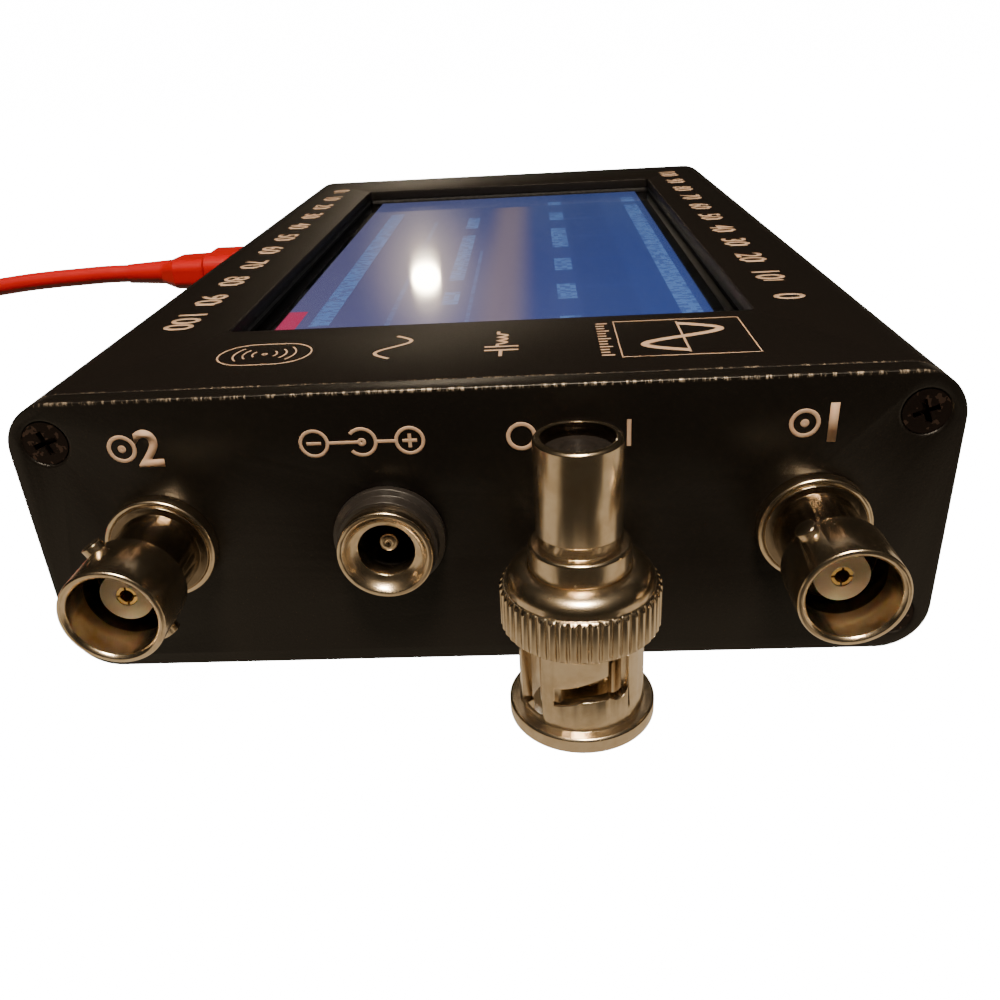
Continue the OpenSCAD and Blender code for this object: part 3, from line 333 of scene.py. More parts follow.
def port_recess(f, radius):
    """1 where shade is painted: on a jack's neck, on the flange round it and down in the well round
    the insulator.
    """
    out = PANEL_FACE - f.y
    neck = out.step(*NECK_FROM) * (1 - out.step(*NECK_TO))
    well = (1 - out.step(*WELL_TO)) * (1 - radius.step(*WELL_REACH))
    return (neck * (1 - radius.step(*NECK_REACH)) * NECK_SHADE_SHARE).most(well)


def load_recess(f, radius):
    """1 where shade is painted: down in the bore at the load plug's top."""
    return f.z.step(*END_FROM) * (1 - radius.step(*END_REACH))


def warm_nickel(name, axis_at, along, painted_shade_at=None):
    """Warm nickel with fine turning marks round an axis, with painted shade, dark and without coat,
    where the given mask gives 1.
    """
    f = Finish(name)
    centred = f.stretched(shift=shift_to(axis_at))
    axes = f.add("ShaderNodeSeparateXYZ", None, {0: centred})
    ports = [Signal(f.tree, p) for p in axes.socket.node.outputs]
    length = ports.pop("xyz".index(along))
    radius = flat_length(*ports)
    path = f.add("ShaderNodeCombineXYZ", None, {0: length * 9000, 1: radius * 9000})
    turned = f.add("ShaderNodeTexNoise", None, {"Vector": path, "Scale": 1.0, "Detail": 2.0})
    stain = f.noise(420, 3.0, 0.6)
    scratch = f.noise(1400, 2.0, 0.6, f.stretched(1, 1, 0.15))
    colour = f.mix(stain.step(0.35, 0.75), tuple(colours().nickel), rgb(0.58, 0.46, 0.31))
    # Painted shade: where the mask gives 1 the nickel turns near black and loses its coat
    shade_amount = painted_shade_at(f, radius) * 0.9 if painted_shade_at else 0.0
    if painted_shade_at:
        colour = f.mix(shade_amount, colour, rgb(0.06, 0.042, 0.028))
    return f.done(f.shader(
        Base_Color=colour, Metallic=1.0, Roughness=0.15 + stain * 0.12 + scratch * 0.06,
        Normal=f.bump(turned * 0.6 + scratch * 0.4, 0.004 * MM, 0.35),
        Coat_Weight=0.3 - 0.3 * shade_amount, Coat_Roughness=0.08, Coat_IOR=1.8))


def turned_gold():
    f = Finish("turned_gold")
    stain = f.noise(900, 2.0)
    colour = f.mix(stain, rgb(0.95, 0.68, 0.26), rgb(0.80, 0.52, 0.17))
    return f.done(f.shader(Base_Color=colour, Metallic=1.0, Roughness=0.26 + stain * 0.1,
                           Normal=f.bump(f.noise(5000, 2.0), 0.01 * MM, 0.3)))


def cream_insulator():
    f = Finish("cream_insulator")
    cloud = f.noise(500, 3.0)
    colour = f.mix(cloud, rgb(0.98, 0.93, 0.84), rgb(0.94, 0.86, 0.74))
    return f.done(f.shader(Base_Color=colour, Roughness=0.42 + cloud * 0.12,
                           Subsurface_Weight=0.15, Subsurface_Scale=0.001,
                           Normal=f.bump(f.noise(3000, 2.0), 0.02 * MM, 0.3)))


def black_moulding(name="black_moulding", rough=0.35):
    f = Finish(name)
    grain = f.noise(3800, 3.0, 0.6)
    colour = f.mix(f.noise(200), rgb(0.010, 0.009, 0.009), rgb(0.020, 0.017, 0.015))
    return f.done(f.shader(Base_Color=colour, Roughness=rough + grain * 0.15,
                           Normal=f.bump(grain, 0.02 * MM, 0.35)))


def black_screw():
    """Black oxide with scattered worn glints."""
    f = Finish("black_screw")
    grain = f.noise(4200, 3.0, 0.6)
    glint = f.noise(1500, 2.0) > 0.60
    colour = f.mix(glint * 0.5, rgb(0.016, 0.011, 0.010), rgb(0.12, 0.08, 0.065))
    return f.done(f.shader(Base_Color=colour, Metallic=0.85, Roughness=0.32 + grain * 0.2,
                           Normal=f.bump(grain, 0.02 * MM, 0.5)))


def printed_ink():
    """Tan screen print with a slightly uneven coat."""
    f = Finish("printed_ink")
    cloud = f.noise(900, 3.0, 0.6)
    colour = f.mix(cloud.step(0.3, 0.8), tuple(colours().ink), rgb(0.50, 0.31, 0.20))
    return f.done(f.shader(Base_Color=colour, Roughness=0.5 + cloud * 0.15,
                           Normal=f.bump(f.noise(6000, 2.0), 0.01 * MM, 0.4)))


def red_jacket(name="red_jacket", rough=0.34):
    """Soft glossy jacket with faint moulding waves."""
    f = Finish(name)
    cloud = f.noise(260, 2.0)
    fine = f.noise(5200, 2.0)
    colour = f.mix(cloud, tuple(colours().cord), rgb(0.37, 0.003, 0.005))
    return f.done(f.shader(Base_Color=colour, Roughness=rough + fine * 0.12,
                           Normal=f.bump(cloud * 0.7 + fine * 0.3, 0.03 * MM, 0.25),
                           Specular_IOR_Level=0.3))


def woven_strap():
    f = Finish("woven_strap")
    weave = abs((f.x * 2400) % 2 - 1) * abs((f.y * 2400 + f.z * 2400) % 2 - 1)
    colour = f.mix(weave, rgb(0.012, 0.012, 0.013), rgb(0.035, 0.033, 0.032))
    return f.done(f.shader(Base_Color=colour, Roughness=0.8,
                           Normal=f.bump(weave, 0.08 * MM, 0.6), Sheen_Weight=0.2))


def bright_sheet(name="bright_sheet", tint=(0.66, 0.65, 0.63)):
    """Plated sheet steel with a fine rolled grain."""
    f = Finish(name)
    grain = f.noise(900, 3.0, 0.6, f.stretched(1, 0.08, 1))
    blotch = f.noise(180, 2.0)
    colour = f.mix(blotch, rgb(*tint), rgb(*(0.82 * c for c in tint)))
    return f.done(f.shader(Base_Color=colour, Metallic=1.0, Roughness=0.22 + grain * 0.16,
                           Normal=f.bump(grain, 0.01 * MM, 0.3)))


def board_laminate():
    """Green solder mask with traces, pads and the weave under it."""
    f = Finish("board_laminate")
    weave = abs((f.x * 1600) % 2 - 1) + abs((f.y * 1600) % 2 - 1)
    lane = (abs((f.x * 420 + f.noise(30, 0.0) * 6) % 1 - 0.5) < 0.14) * (f.noise(45, 0.0) > 0.48)
    cross = (abs((f.y * 420 + f.noise(24, 0.0) * 6) % 1 - 0.5) < 0.14) * (f.noise(38, 0.0) < 0.5)
    trace = lane.most(cross)
    dots = f.cells(520) < 0.12
    colour = f.mix(trace, rgb(0.008, 0.070, 0.030), rgb(0.016, 0.135, 0.055))
    colour = f.mix(dots, colour, rgb(0.62, 0.48, 0.25))
    return f.done(f.shader(Base_Color=colour, Metallic=dots * 0.9, Roughness=0.32 + weave * 0.05,
                           Normal=f.bump(trace + weave * 0.1, 0.03 * MM, 0.5)))


def chip_epoxy():
    f = Finish("chip_epoxy")
    grain = f.noise(3000, 3.0)
    colour = f.mix(grain, rgb(0.014, 0.014, 0.015), rgb(0.028, 0.028, 0.030))
    return f.done(f.shader(Base_Color=colour, Roughness=0.55 + grain * 0.1,
                           Normal=f.bump(grain, 0.02 * MM, 0.4)))


def cell_foil():
    """Crinkled aluminium pouch."""
    f = Finish("cell_foil")
    crease = f.noise(160, 4.0, 0.6)
    colour = f.mix(crease, rgb(0.58, 0.59, 0.61), rgb(0.44, 0.45, 0.47))
    return f.done(f.shader(Base_Color=colour, Metallic=0.9, Roughness=0.28 + crease * 0.15,
                           Normal=f.bump(crease, 0.3 * MM, 0.4)))


def soft_foam():
    f = Finish("soft_foam")
    pores = f.cells(2600)
    colour = f.mix(pores, rgb(0.012, 0.012, 0.012), rgb(0.040, 0.040, 0.042))
    return f.done(f.shader(Base_Color=colour, Roughness=0.9,
                           Normal=f.bump(pores, 0.1 * MM, 0.6)))


def amber_film():
    """Polyimide ribbon with copper lanes."""
    f = Finish("amber_film")
    lane = abs((f.x * 1000) % 1 - 0.5) < 0.28
    colour = f.mix(lane, rgb(0.50, 0.22, 0.03), rgb(0.62, 0.30, 0.07))
    return f.done(f.shader(Base_Color=colour, Roughness=0.3,
                           Normal=f.bump(lane, 0.02 * MM, 0.5), Coat_Weight=0.5))


def cream_moulding():
    f = Finish("cream_moulding")
    grain = f.noise(2600, 2.0)
    colour = f.mix(grain, rgb(0.72, 0.66, 0.50), rgb(0.62, 0.56, 0.42))
    return f.done(f.shader(Base_Color=colour, Roughness=0.45 + grain * 0.1,
                           Normal=f.bump(grain, 0.02 * MM, 0.3)))


def coated_ceramic():
    """Blue resistor body with plain bands."""
    f = Finish("coated_ceramic")
    band = abs((f.z * 500) % 1 - 0.5) < 0.14
    colour = f.mix(band, rgb(0.05, 0.17, 0.26), rgb(0.10, 0.06, 0.03))
    return f.done(f.shader(Base_Color=colour, Roughness=0.4,
                           Normal=f.bump(f.noise(2600, 2.0), 0.02 * MM, 0.3)))


def wire_jacket():
    f = Finish("wire_jacket")
    cloud = f.noise(800, 2.0)
    split = f.x > 0
    colour = f.mix(split, rgb(0.010, 0.010, 0.011), rgb(0.50, 0.02, 0.015))
    return f.done(f.shader(Base_Color=colour, Roughness=0.42 + cloud * 0.1,
                           Normal=f.bump(cloud, 0.03 * MM, 0.3)))


# Lit area of the display, a little smaller than the window
SCREEN_X, SCREEN_Y = 0.5 * MM, 5.0 * MM
SCREEN_HALF_X, SCREEN_HALF_Y = 27.0 * MM, 47.5 * MM


def cover_glass():
    """Clear touch glass with a black printed border under it."""
    f = Finish("cover_glass")
    smear = f.noise(35, 3.0, 0.6)
    side = abs(f.x - SCREEN_X).step(SCREEN_HALF_X - 0.2 * MM, SCREEN_HALF_X + 0.2 * MM)
    ends = abs(f.y - SCREEN_Y).step(SCREEN_HALF_Y - 0.2 * MM, SCREEN_HALF_Y + 0.2 * MM)
    border = side.most(ends)
    colour = f.mix(border, rgb(1.0, 1.0, 1.0), rgb(0.004, 0.003, 0.005))
    return f.done(f.shader(Base_Color=colour, Roughness=0.05 + smear.step(0.45, 0.8) * 0.03,
                           IOR=1.5, Transmission_Weight=1.0))


def lit_display():
    """A made-up instrument page: blue ground, rows of light blocks, a red field, with painted
    reflections of the room.
    """
    f = Finish("lit_display")
    x, y = f.x / MM, f.y / MM

    def row(at, half, low, high, pace, fill, seed):
        """Blocks of light strokes in a row that runs along Y."""
        inside = (abs(x - at) < half) * (y > low) * (y < high)
        word = f.add("ShaderNodeTexWhiteNoise", {"noise_dimensions": "1D"},
                     {"W": (y / pace + seed).floor()})
        stroke = f.add("ShaderNodeTexWhiteNoise", {"noise_dimensions": "2D"},
                       {"Vector": f.add("ShaderNodeCombineXYZ", None,
                                        {0: (y * 2.2).floor(), 1: (x * 1.4).floor() + seed})})
        return inside * (word < fill) * (0.35 + 0.65 * (stroke > 0.42))

    blocks = row(25.0, 1.3, -41, 46, 3.1, 0.94, 3)
    blocks = blocks.most(row(10.2, 1.3, -41, 44, 8.0, 0.62, 11))
    blocks = blocks.most(row(-5.4, 1.1, -37, 30, 6.5, 0.55, 23))
    blocks = blocks.most(row(-21.2, 1.3, -40, 38, 9.0, 0.66, 31))
    fine = row(-12.5, 0.35, -41, 40, 14.0, 0.6, 41)
    fine = fine.most(row(-2.6, 0.25, -41, 10, 30.0, 0.9, 43))
    # Greyer towards -X: partly the screen's own purple tint and partly a painted reflection of the
    # warm room
    field = f.mix(x.step(-24, 24), rgb(0.115, 0.110, 0.250), tuple(colours().screen))
    field = f.mix(y.step(-10, 45) * 0.35, field, rgb(0.10, 0.14, 0.33))
    panel = (abs(x - 15.5) < 3.6) * (abs((y + 60) % 17 - 8.5) < 7.6)
    field = f.mix(panel * 0.3, field, rgb(0.025, 0.050, 0.21))
    red = (x > -28) * (x < -24.0) * (y > -42.5) * (y < -33)
    colour = f.mix(blocks.most(fine * 0.5) * 0.65, field, rgb(0.15, 0.30, 0.70))
    colour = f.mix(red, colour, rgb(0.55, 0.035, 0.12))
    # Painted reflection: a warm band of the bulb's haze mirrored in the glass, painted into the
    # screen's light
    haze = (1 - abs(x - 1.5).step(0.5, 5.0)) * (y < 40) * 0.6
    colour = f.mix(haze, colour, rgb(0.36, 0.26, 0.26))
    lit = (abs(f.x - SCREEN_X) < SCREEN_HALF_X) * (abs(f.y - SCREEN_Y) < SCREEN_HALF_Y)
    colour = f.mix(lit, rgb(0.0, 0.0, 0.0), colour)
    return f.done(f.shader(Base_Color=rgb(0.004, 0.005, 0.012), Emission_Color=colour,
                           Emission_Strength=1.0, Roughness=0.3))


# ------------------------------------------------------------------ pieces


def give(material, *nodes):
    """Puts a material into every slot of the CAD nodes."""
    for node in nodes:
        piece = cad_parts[node]
        if not piece.material_slots:
            piece.data.materials.append(material)
        for place in piece.material_slots:
            place.material = material


def piece_from(name, bm, material, body, replaces=(), smooth=True, edge=0.0, cuts=2):
    """Makes an object at the origin from a bmesh, rounds its edges and rides it on its body."""
    mesh = bpy.data.meshes.new(name)
    bm.to_mesh(mesh)
    bm.free()
    if smooth:
        mesh.shade_smooth()
    mesh.materials.append(material)
    made = bpy.data.objects.new(name, mesh)
    bpy.context.scene.collection.objects.link(made)
    if edge:
        rounding = made.modifiers.new("rounded_edges", "BEVEL")
        rounding.width, rounding.segments = edge, cuts
        rounding.limit_method, rounding.angle_limit = "ANGLE", math.radians(35)
        rounding.harden_normals, rounding.use_clamp_overlap = True, False
    if body:
        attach(made, body)
    if replaces:
        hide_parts(*replaces)
    return made


def merged_copy(node):
    """A CAD node's mesh with its loose triangles joined and its flat faces whole."""
    bm = bmesh.new()
    bm.from_mesh(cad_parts[node].data)
    bmesh.ops.remove_doubles(bm, verts=bm.verts, dist=1e-6)
    bmesh.ops.dissolve_limit(bm, angle_limit=math.radians(0.5), verts=bm.verts, edges=bm.edges)
    return bm


def refined(node, material, body, edge, cuts=2):
    """Takes a CAD node's place with a copy that has rounded edges."""
    return piece_from(node + "_finished", merged_copy(node), material, body, [node],
                      edge=edge, cuts=cuts)


def upright(face_y):
    """Takes flat work, drawn in x and y, onto a face that looks along -Y."""
    return Matrix.Translation((0, face_y, 0)) @ Matrix.Rotation(math.pi / 2, 4, "X")


def lying(top_z):
    """Takes flat work onto the lid with its reading direction along -Y."""
    return Matrix.Translation((0, 0, top_z)) @ Matrix.Rotation(-math.pi / 2, 4, "Z")


def unwrapped(curve):
    """A curve's or text's surface as a bmesh."""
    holder = bpy.data.objects.new(curve.name, curve)
    bpy.context.scene.collection.objects.link(holder)
    bpy.context.view_layer.update()
    mesh = bpy.data.meshes.new_from_object(holder)
    bpy.data.objects.remove(holder)
    bm = bmesh.new()
    bm.from_mesh(mesh)
    bpy.data.meshes.remove(mesh)
    return bm


def ink_strokes(name, strokes, width, place):
    """Raised ink lines: each stroke is a list of flat points, closed if its ends meet."""
    curve = bpy.data.curves.new(name, "CURVE")
    curve.dimensions = "3D"
    curve.bevel_depth = width / 2
    curve.bevel_resolution = 2
    curve.use_fill_caps = True
    for points in strokes:
        closed = (Vector(points[0]) - Vector(points[-1])).length < 1e-7
        line = curve.splines.new("POLY")
        line.points.add(len(points) - (2 if closed else 1))
        for spot, (x, y) in zip(line.points, points):
            spot.co = (x, y, 0, 1)
        line.use_cyclic_u = closed
    bm = unwrapped(curve)
    rise = sizes().ink_height / (width / 2)
    bmesh.ops.scale(bm, vec=(1, 1, rise), verts=bm.verts)
    bmesh.ops.transform(bm, matrix=place, verts=bm.verts)
    bmesh.ops.recalc_face_normals(bm, faces=bm.faces)
    return bm


def ink_number(name, digits, height, centre, place, stretch=1.0, bold=0.0):
    """A plain number as raised ink, its height and centre as given."""
    curve = bpy.data.curves.new(name, "FONT")
    curve.body = digits
    curve.align_x, curve.align_y = "CENTER", "CENTER"
    curve.offset = bold
    curve.resolution_u = 6
    bm = unwrapped(curve)
    low = Vector([min(v.co[i] for v in bm.verts) for i in range(3)])
    high = Vector([max(v.co[i] for v in bm.verts) for i in range(3)])
    scale = height / (high.y - low.y)
    bmesh.ops.translate(bm, vec=-(low + high) / 2, verts=bm.verts)
    bmesh.ops.scale(bm, vec=(scale * stretch, scale, 1), verts=bm.verts)
    bmesh.ops.translate(bm, vec=(centre[0], centre[1], 0), verts=bm.verts)
    raised = bmesh.ops.extrude_face_region(bm, geom=bm.faces[:])
    tops = [g for g in raised["geom"] if isinstance(g, bmesh.types.BMVert)]
    bmesh.ops.translate(bm, vec=(0, 0, sizes().ink_height), verts=tops)
    bmesh.ops.transform(bm, matrix=place, verts=bm.verts)
    bmesh.ops.recalc_face_normals(bm, faces=bm.faces)
    return bm


def joined(parts):
    """One bmesh from several, which it frees."""
    whole = bmesh.new()
    for part in parts:
        mesh = bpy.data.meshes.new("part")
        part.to_mesh(mesh)
        part.free()
        whole.from_mesh(mesh)
        bpy.data.meshes.remove(mesh)
    return whole


def arc(centre, radius, start, stop, steps=24):
    """Flat points on an arc, its angles in degrees."""
    return [(centre[0] + radius * math.cos(math.radians(start + (stop - start) * i / steps)),
             centre[1] + radius * math.sin(math.radians(start + (stop - start) * i / steps)))
            for i in range(steps + 1)]


# ------------------------------------------------------------------ camera, light and floor

# The camera as it was worked out from the photograph: its place, its axes and its lens
CAMERA_AT = Vector((6.33, -149.60, 59.16)) * MM
CAMERA_RIGHT = (0.99823481, 0.02932147, -0.05164803)
CAMERA_DOWN = (-0.03253163, -0.45761451, -0.88855538)
CAMERA_AHEAD = (-0.04968864, 0.8886671, -0.45585286)
LENS_MM = 32.57

# The floor's disc, the sweep up into its wall, and its light
FLOOR_RADIUS, FLOOR_SWEEP, FLOOR_GLOW = 4.0, 1.2, 16.0
# Soft edge of the painted shadow just outside the bore of the load plug's foot, and how far off
# metal shades the floor
UNDER_BORE, SHADE_REACH = (5.2 * MM, 5.6 * MM), 5.5 * MM
TABLE_RADIUS, TABLE_DROP = 1.5, 0.1 * MM
# Where the table top gives light: round the plug, past two slanted lines, and at the jacks
NEAR_PLUG = 9 * MM, 33 * MM
SIDE_SLANT, SIDE_EDGE = 1.25, (-6 * MM, 12 * MM)
BESIDE_X, BESIDE_OUT, BESIDE_FROM = 6 * MM, (24 * MM, 34 * MM), (-114 * MM, -106 * MM)
# The bulb that the screen mirrors, and the disc of haze behind it
BULB_AT = (-0.1055, 0.7556, 0.209)
HAZE_AT, HAZE_RADIUS, HAZE_REACH, HAZE_GLOW = (-0.1055, 0.765, 0.215), 0.125, 0.085, 2.2
# What the lamps look at, then each one's name, place, width, watts, colour and mirroring
AIM = Vector((0, -0.03, 0.01))
LAMPS = (
    ("ceiling_lamp", (0.02, -0.45, 0.94), 0.28, 22.0, (1.0, 0.83, 0.62), True),
    ("left_soft", (-0.9, -0.35, 0.8), 0.6, 3.0, (1.0, 0.88, 0.74), False),
    ("right_soft", (0.9, -0.45, 0.8), 0.6, 3.0, (1.0, 0.88, 0.74), False),
    ("warm_bulb", BULB_AT, 0.028, 0.2, (1.0, 0.82, 0.58), True),
)


def disc(radius, segments):
    """A flat round face at the origin."""
    bm = bmesh.new()
    bmesh.ops.create_circle(bm, cap_ends=True, segments=segments, radius=radius)
    return bm


def stage_piece(name, bm, material, *unseen_by):
    """A piece of the stage that some kinds of ray pass through."""
    made = piece_from(name, bm, material, None)
    for rays in unseen_by:
        setattr(made, "visible_" + rays, False)
    return made


class ANALYZER_OT_stage(bpy.types.Operator):
    """Camera, floor and lights"""

    bl_idname = "analyzer.stage"
    bl_label = "Stage"

    def execute(self, context):
        scene = context.scene
        lens = bpy.data.cameras.new("camera")
        lens.lens = LENS_MM
        lens.clip_start, lens.clip_end = 0.005, 20
        camera = bpy.data.objects.new("camera", lens)
        turn = Matrix((CAMERA_RIGHT, [-c for c in CAMERA_DOWN], [-c for c in CAMERA_AHEAD]))
        camera.matrix_world = Matrix.Translation(CAMERA_AT) @ turn.transposed().to_4x4()
        scene.collection.objects.link(camera)
        scene.camera = camera

        floor = self.floor()
        self.table()
        self.halo()
        for lamp in LAMPS:
            self.lamp(scene, *lamp)
        world = bpy.data.worlds.new("dark_room")
        world.use_nodes = True
        world.node_tree.nodes["Background"].inputs[0].default_value = (0.012, 0.010, 0.007, 1)
        scene.world = world
        return {"FINISHED"}

    def floor(self):
        """A white bowl that gives light, with a painted shadow in the bore of the load plug's foot.
        """
        f = Finish("pale_floor")
        fleck = f.noise(40, 2.0)
        under = 1 - flat_length(f.x - LOAD.x, f.y - LOAD.y).step(*UNDER_BORE)
        open_sky = f.add("ShaderNodeAmbientOcclusion", {"samples": 8},
                         {"Distance": SHADE_REACH}, "AO")
        # Painted shadow: the floor's glow goes black in the plug's bore where metal is near
        white = f.mix(under * (1 - open_sky.step(0.93, 0.998)), rgb(1, 1, 1), rgb(0, 0, 0))
        paper = f.done(f.shader(
            Base_Color=f.mix(fleck, rgb(0.86, 0.86, 0.86), rgb(0.90, 0.90, 0.90)),
            Roughness=0.9, Specular_IOR_Level=0.1, Emission_Color=white,
            Emission_Strength=FLOOR_GLOW))
        bm = disc(FLOOR_RADIUS, 64)
        rim = [e for e in bm.edges if e.is_boundary]
        wall = bmesh.ops.extrude_edge_only(bm, edges=rim)
        raised = [g for g in wall["geom"] if isinstance(g, bmesh.types.BMVert)]
        bmesh.ops.translate(bm, vec=(0, 0, FLOOR_RADIUS), verts=raised)
        sweep = [e for e in bm.edges if not e.is_boundary
                 and max(v.co.z for v in e.verts) < FLOOR_RADIUS / 2]
        bmesh.ops.bevel(bm, geom=sweep, offset=FLOOR_SWEEP, segments=12, profile=0.5,
                        affect="EDGES", material=-1)
        return stage_piece("floor", bm, paper, "glossy", "diffuse", "shadow")

    def table(self):
        """A tan table top that only the gloss sees: light near the plug and at both sides."""
        f = Finish("tan_table")
        across, ahead = f.x - LOAD.x, f.y - LOAD.y
        near = 1 - flat_length(across, ahead).step(*NEAR_PLUG)
        side = (abs(across) + ahead * SIDE_SLANT).step(*SIDE_EDGE)
        beside = abs(f.x - BESIDE_X).step(*BESIDE_OUT) * f.y.step(*BESIDE_FROM)
        grain = f.noise(30, 3.0)
        light = (near.most(side.most(beside)) * 0.60 + 0.05) * (0.7 + 0.6 * grain)
        glow = f.add("ShaderNodeEmission", None, {"Color": rgb(1.0, 0.80, 0.55), "Strength": light})
        bm = disc(TABLE_RADIUS, 48)
        bmesh.ops.translate(bm, vec=(0, 0, -TABLE_DROP), verts=bm.verts)
        return stage_piece("table_top", bm, f.done(glow), "camera", "diffuse", "shadow")

    def halo(self):
        """Soft haze round the bulb that the screen mirrors."""
        f = Finish("bulb_haze")
        over, up = f.x - HAZE_AT[0], f.z - HAZE_AT[2]
        far = ((over * over + up * up * 0.5) ** 0.5) / HAZE_REACH
        fade = (1 - far.least(1.0)) ** 2.0
        glow = f.add("ShaderNodeEmission", None,
                     {"Color": rgb(1.0, 0.78, 0.54), "Strength": fade * HAZE_GLOW})
        bm = disc(HAZE_RADIUS, 48)
        bmesh.ops.transform(bm, matrix=Matrix.Translation(HAZE_AT)
                            @ Matrix.Rotation(math.pi / 2, 4, "X"), verts=bm.verts)
        return stage_piece("bulb_haze", bm, f.done(glow), "camera", "diffuse", "shadow")

    def lamp(self, scene, name, at, size, watts, colour, mirrored):
        """A round soft light that looks at the front half of the case."""
        light = bpy.data.lights.new(name, "AREA")
        light.shape = "DISK"
        light.size, light.energy, light.color = size, watts, colour
        lamp = bpy.data.objects.new(name, light)
        lamp.visible_glossy = mirrored
        lamp.location = at
        aim = AIM - Vector(at)
        lamp.rotation_mode = "QUATERNION"
        lamp.rotation_quaternion = aim.to_track_quat("-Z", "Y")
        scene.collection.objects.link(lamp)


# ------------------------------------------------------------------ the data lead

# Free stretch of the cord in millimetres, from the small plug to the coil
ROUTE = [
    (-66, 10, 25), (-70, 10, 25), (-75, 10, 24.8), (-81, 10, 24.5), (-88, 10, 23.9),
    (-96, 10, 22.8), (-105, 9, 20.6), (-114, 5, 17.2), (-121.5, -0.5, 13.2),
    (-127, -8, 9.2), (-130.8, -16.7, 5.8), (-132, -25, 3.4), (-132, -29, 2.3),
    (-132, -33, 2.1), (-132, -37, 2.1),
]
COIL_TURNS, CLIMB_TURNS, LOOP_STEPS = 3.25, 0.5, 24
TAIL_LEAD, TAIL_DROP, TAIL_Z = 4.0, 14.0, 4.0


def cord_line():
    """Points of the cord's centreline in metres: free stretch, two layers of turns, tail."""
    end = ROUTE[-1]
    d = sizes().cord_diameter / MM
    wide, pitch = sizes().coil_radius / MM, sizes().coil_pitch / MM
    centre = (end[0] + wide, end[1] - d)
    total = 2 * COIL_TURNS + CLIMB_TURNS
    points = list(ROUTE)
    for i in range(round(total * LOOP_STEPS) + 1):
        t = i / LOOP_STEPS
        inward = t if t <= COIL_TURNS + CLIMB_TURNS / 2 else total - t
        climb = min(max((t - COIL_TURNS) / CLIMB_TURNS, 0), 1)
        r = wide - pitch * inward
        points.append((centre[0] - r * math.cos(TURN * t), centre[1] - r * math.sin(TURN * t),
                       end[2] + pitch * (1 - math.cos(math.pi * climb)) / 2))
    top = end[2] + pitch
    for i in range(5):
        s = i / 4
        points.append((end[0], centre[1] - TAIL_LEAD - TAIL_DROP * s,
                       top + (TAIL_Z - top) * (1 - math.cos(math.pi * s)) / 2))
    points.append((end[0], centre[1] - TAIL_LEAD - TAIL_DROP - d, TAIL_Z))
    return [Vector(p) * MM for p in points]


class ANALYZER_OT_cord(bpy.types.Operator):
    """The red cord from the small plug, through its coil, to the host plug"""

    bl_idname = "analyzer.cord"
    bl_label = "Data cord"

    def execute(self, context):
        line = cord_line()
        curve = bpy.data.curves.new("data_cord", "CURVE")
        curve.dimensions = "3D"
        curve.bevel_depth = sizes().cord_diameter / 2
        curve.bevel_resolution = 5
        curve.resolution_u = 4
        curve.use_fill_caps = True
        curve.twist_mode = "Z_UP"
        spline = curve.splines.new("BEZIER")
        spline.bezier_points.add(len(line) - 1)
        for spot, at in zip(spline.bezier_points, line):
            spot.co = at
            spot.handle_left_type = spot.handle_right_type = "AUTO"
        curve.materials.append(red_jacket())
        cord = bpy.data.objects.new("data_cord", curve)
        context.scene.collection.objects.link(cord)
        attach(cord, "usb_lead")
        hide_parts("usb_cord", "usb_cord_coil")
        return {"FINISHED"}


class ANALYZER_OT_lead_ends(bpy.types.Operator):
    """The two moulded plugs of the data lead and the strap round its coil"""

    bl_idname = "analyzer.lead_ends"
    bl_label = "Lead ends"

    def execute(self, context):
        give(red_jacket("red_moulding", 0.3), "usb_plug_grip", "host_plug_grip")
        give(bright_sheet("plug_sheet"), "usb_plug_shell", "host_plug_shell")
        give(woven_strap(), "coil_strap")
        return {"FINISHED"}


# ------------------------------------------------------------------ the case


class ANALYZER_OT_case(bpy.types.Operator):
    """Anodised shells and end panels, and their screws"""

    bl_idname = "analyzer.case"
    bl_label = "Case"

    def execute(self, context):
        shell, panel = anodised_case(), anodised_panel()
        for node, finish, slot in (("top_shell", shell, "case_black"),
                                   ("bottom_shell", shell, "case_black"),
                                   ("connector_panel", panel, "panel_black"),
                                   ("rear_panel", panel, "panel_black")):
            refined(node, finish, "analyzer", 0.2 * MM, 3)
        give(black_screw(), "connector_panel_screws", "rear_panel_screws")
        return {"FINISHED"}


class ANALYZER_OT_screen(bpy.types.Operator):
    """Touch glass, lit display, its tray, foam and ribbon, and the battery's pad"""

    bl_idname = "analyzer.screen"
    bl_label = "Screen"

    def execute(self, context):
        give(cover_glass(), "touch_glass")
        give(lit_display(), "lcd_panel")
        give(bright_sheet("tray_steel"), "lcd_tray")
        give(soft_foam(), "display_gasket", "display_pads", "battery_pad")
        give(amber_film(), "display_ribbon")
        return {"FINISHED"}


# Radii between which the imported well's wall lies, and where the finished jack has it
WELL_AT, WELL_OUT = (3.6 * MM, 3.8 * MM), 3.98 * MM


class ANALYZER_OT_ports(bpy.types.Operator):
    """Bayonet jacks"""

    bl_idname = "analyzer.ports"
    bl_label = "Jacks"

    def execute(self, context):
        cream, gold = cream_insulator(), turned_gold()
        for port, at in PORTS.items():
            # Painted shade on each jack's neck, on the flange round it and in the well
            metal = warm_nickel(port + "_nickel", at, "y", port_recess)
            bm = merged_copy(port + "_shell")
            # The well's wall goes out almost to the bore's, so no bright cone rings the insulator
            for vert in bm.verts:
                arm = Vector((vert.co.x - at.x, 0, vert.co.z - at.z))
                if WELL_AT[0] < arm.length < WELL_AT[1]:
                    vert.co += arm.normalized() * (WELL_OUT - arm.length)
            piece_from(port + "_shell_finished", bm, metal, "analyzer", [port + "_shell"],
                       edge=0.06 * MM)
            give(metal, port + "_nut")
            give(cream, port + "_insulator")
            give(gold, port + "_contact")
            give(bright_sheet(port + "_washer_steel"), port + "_washer")
        return {"FINISHED"}


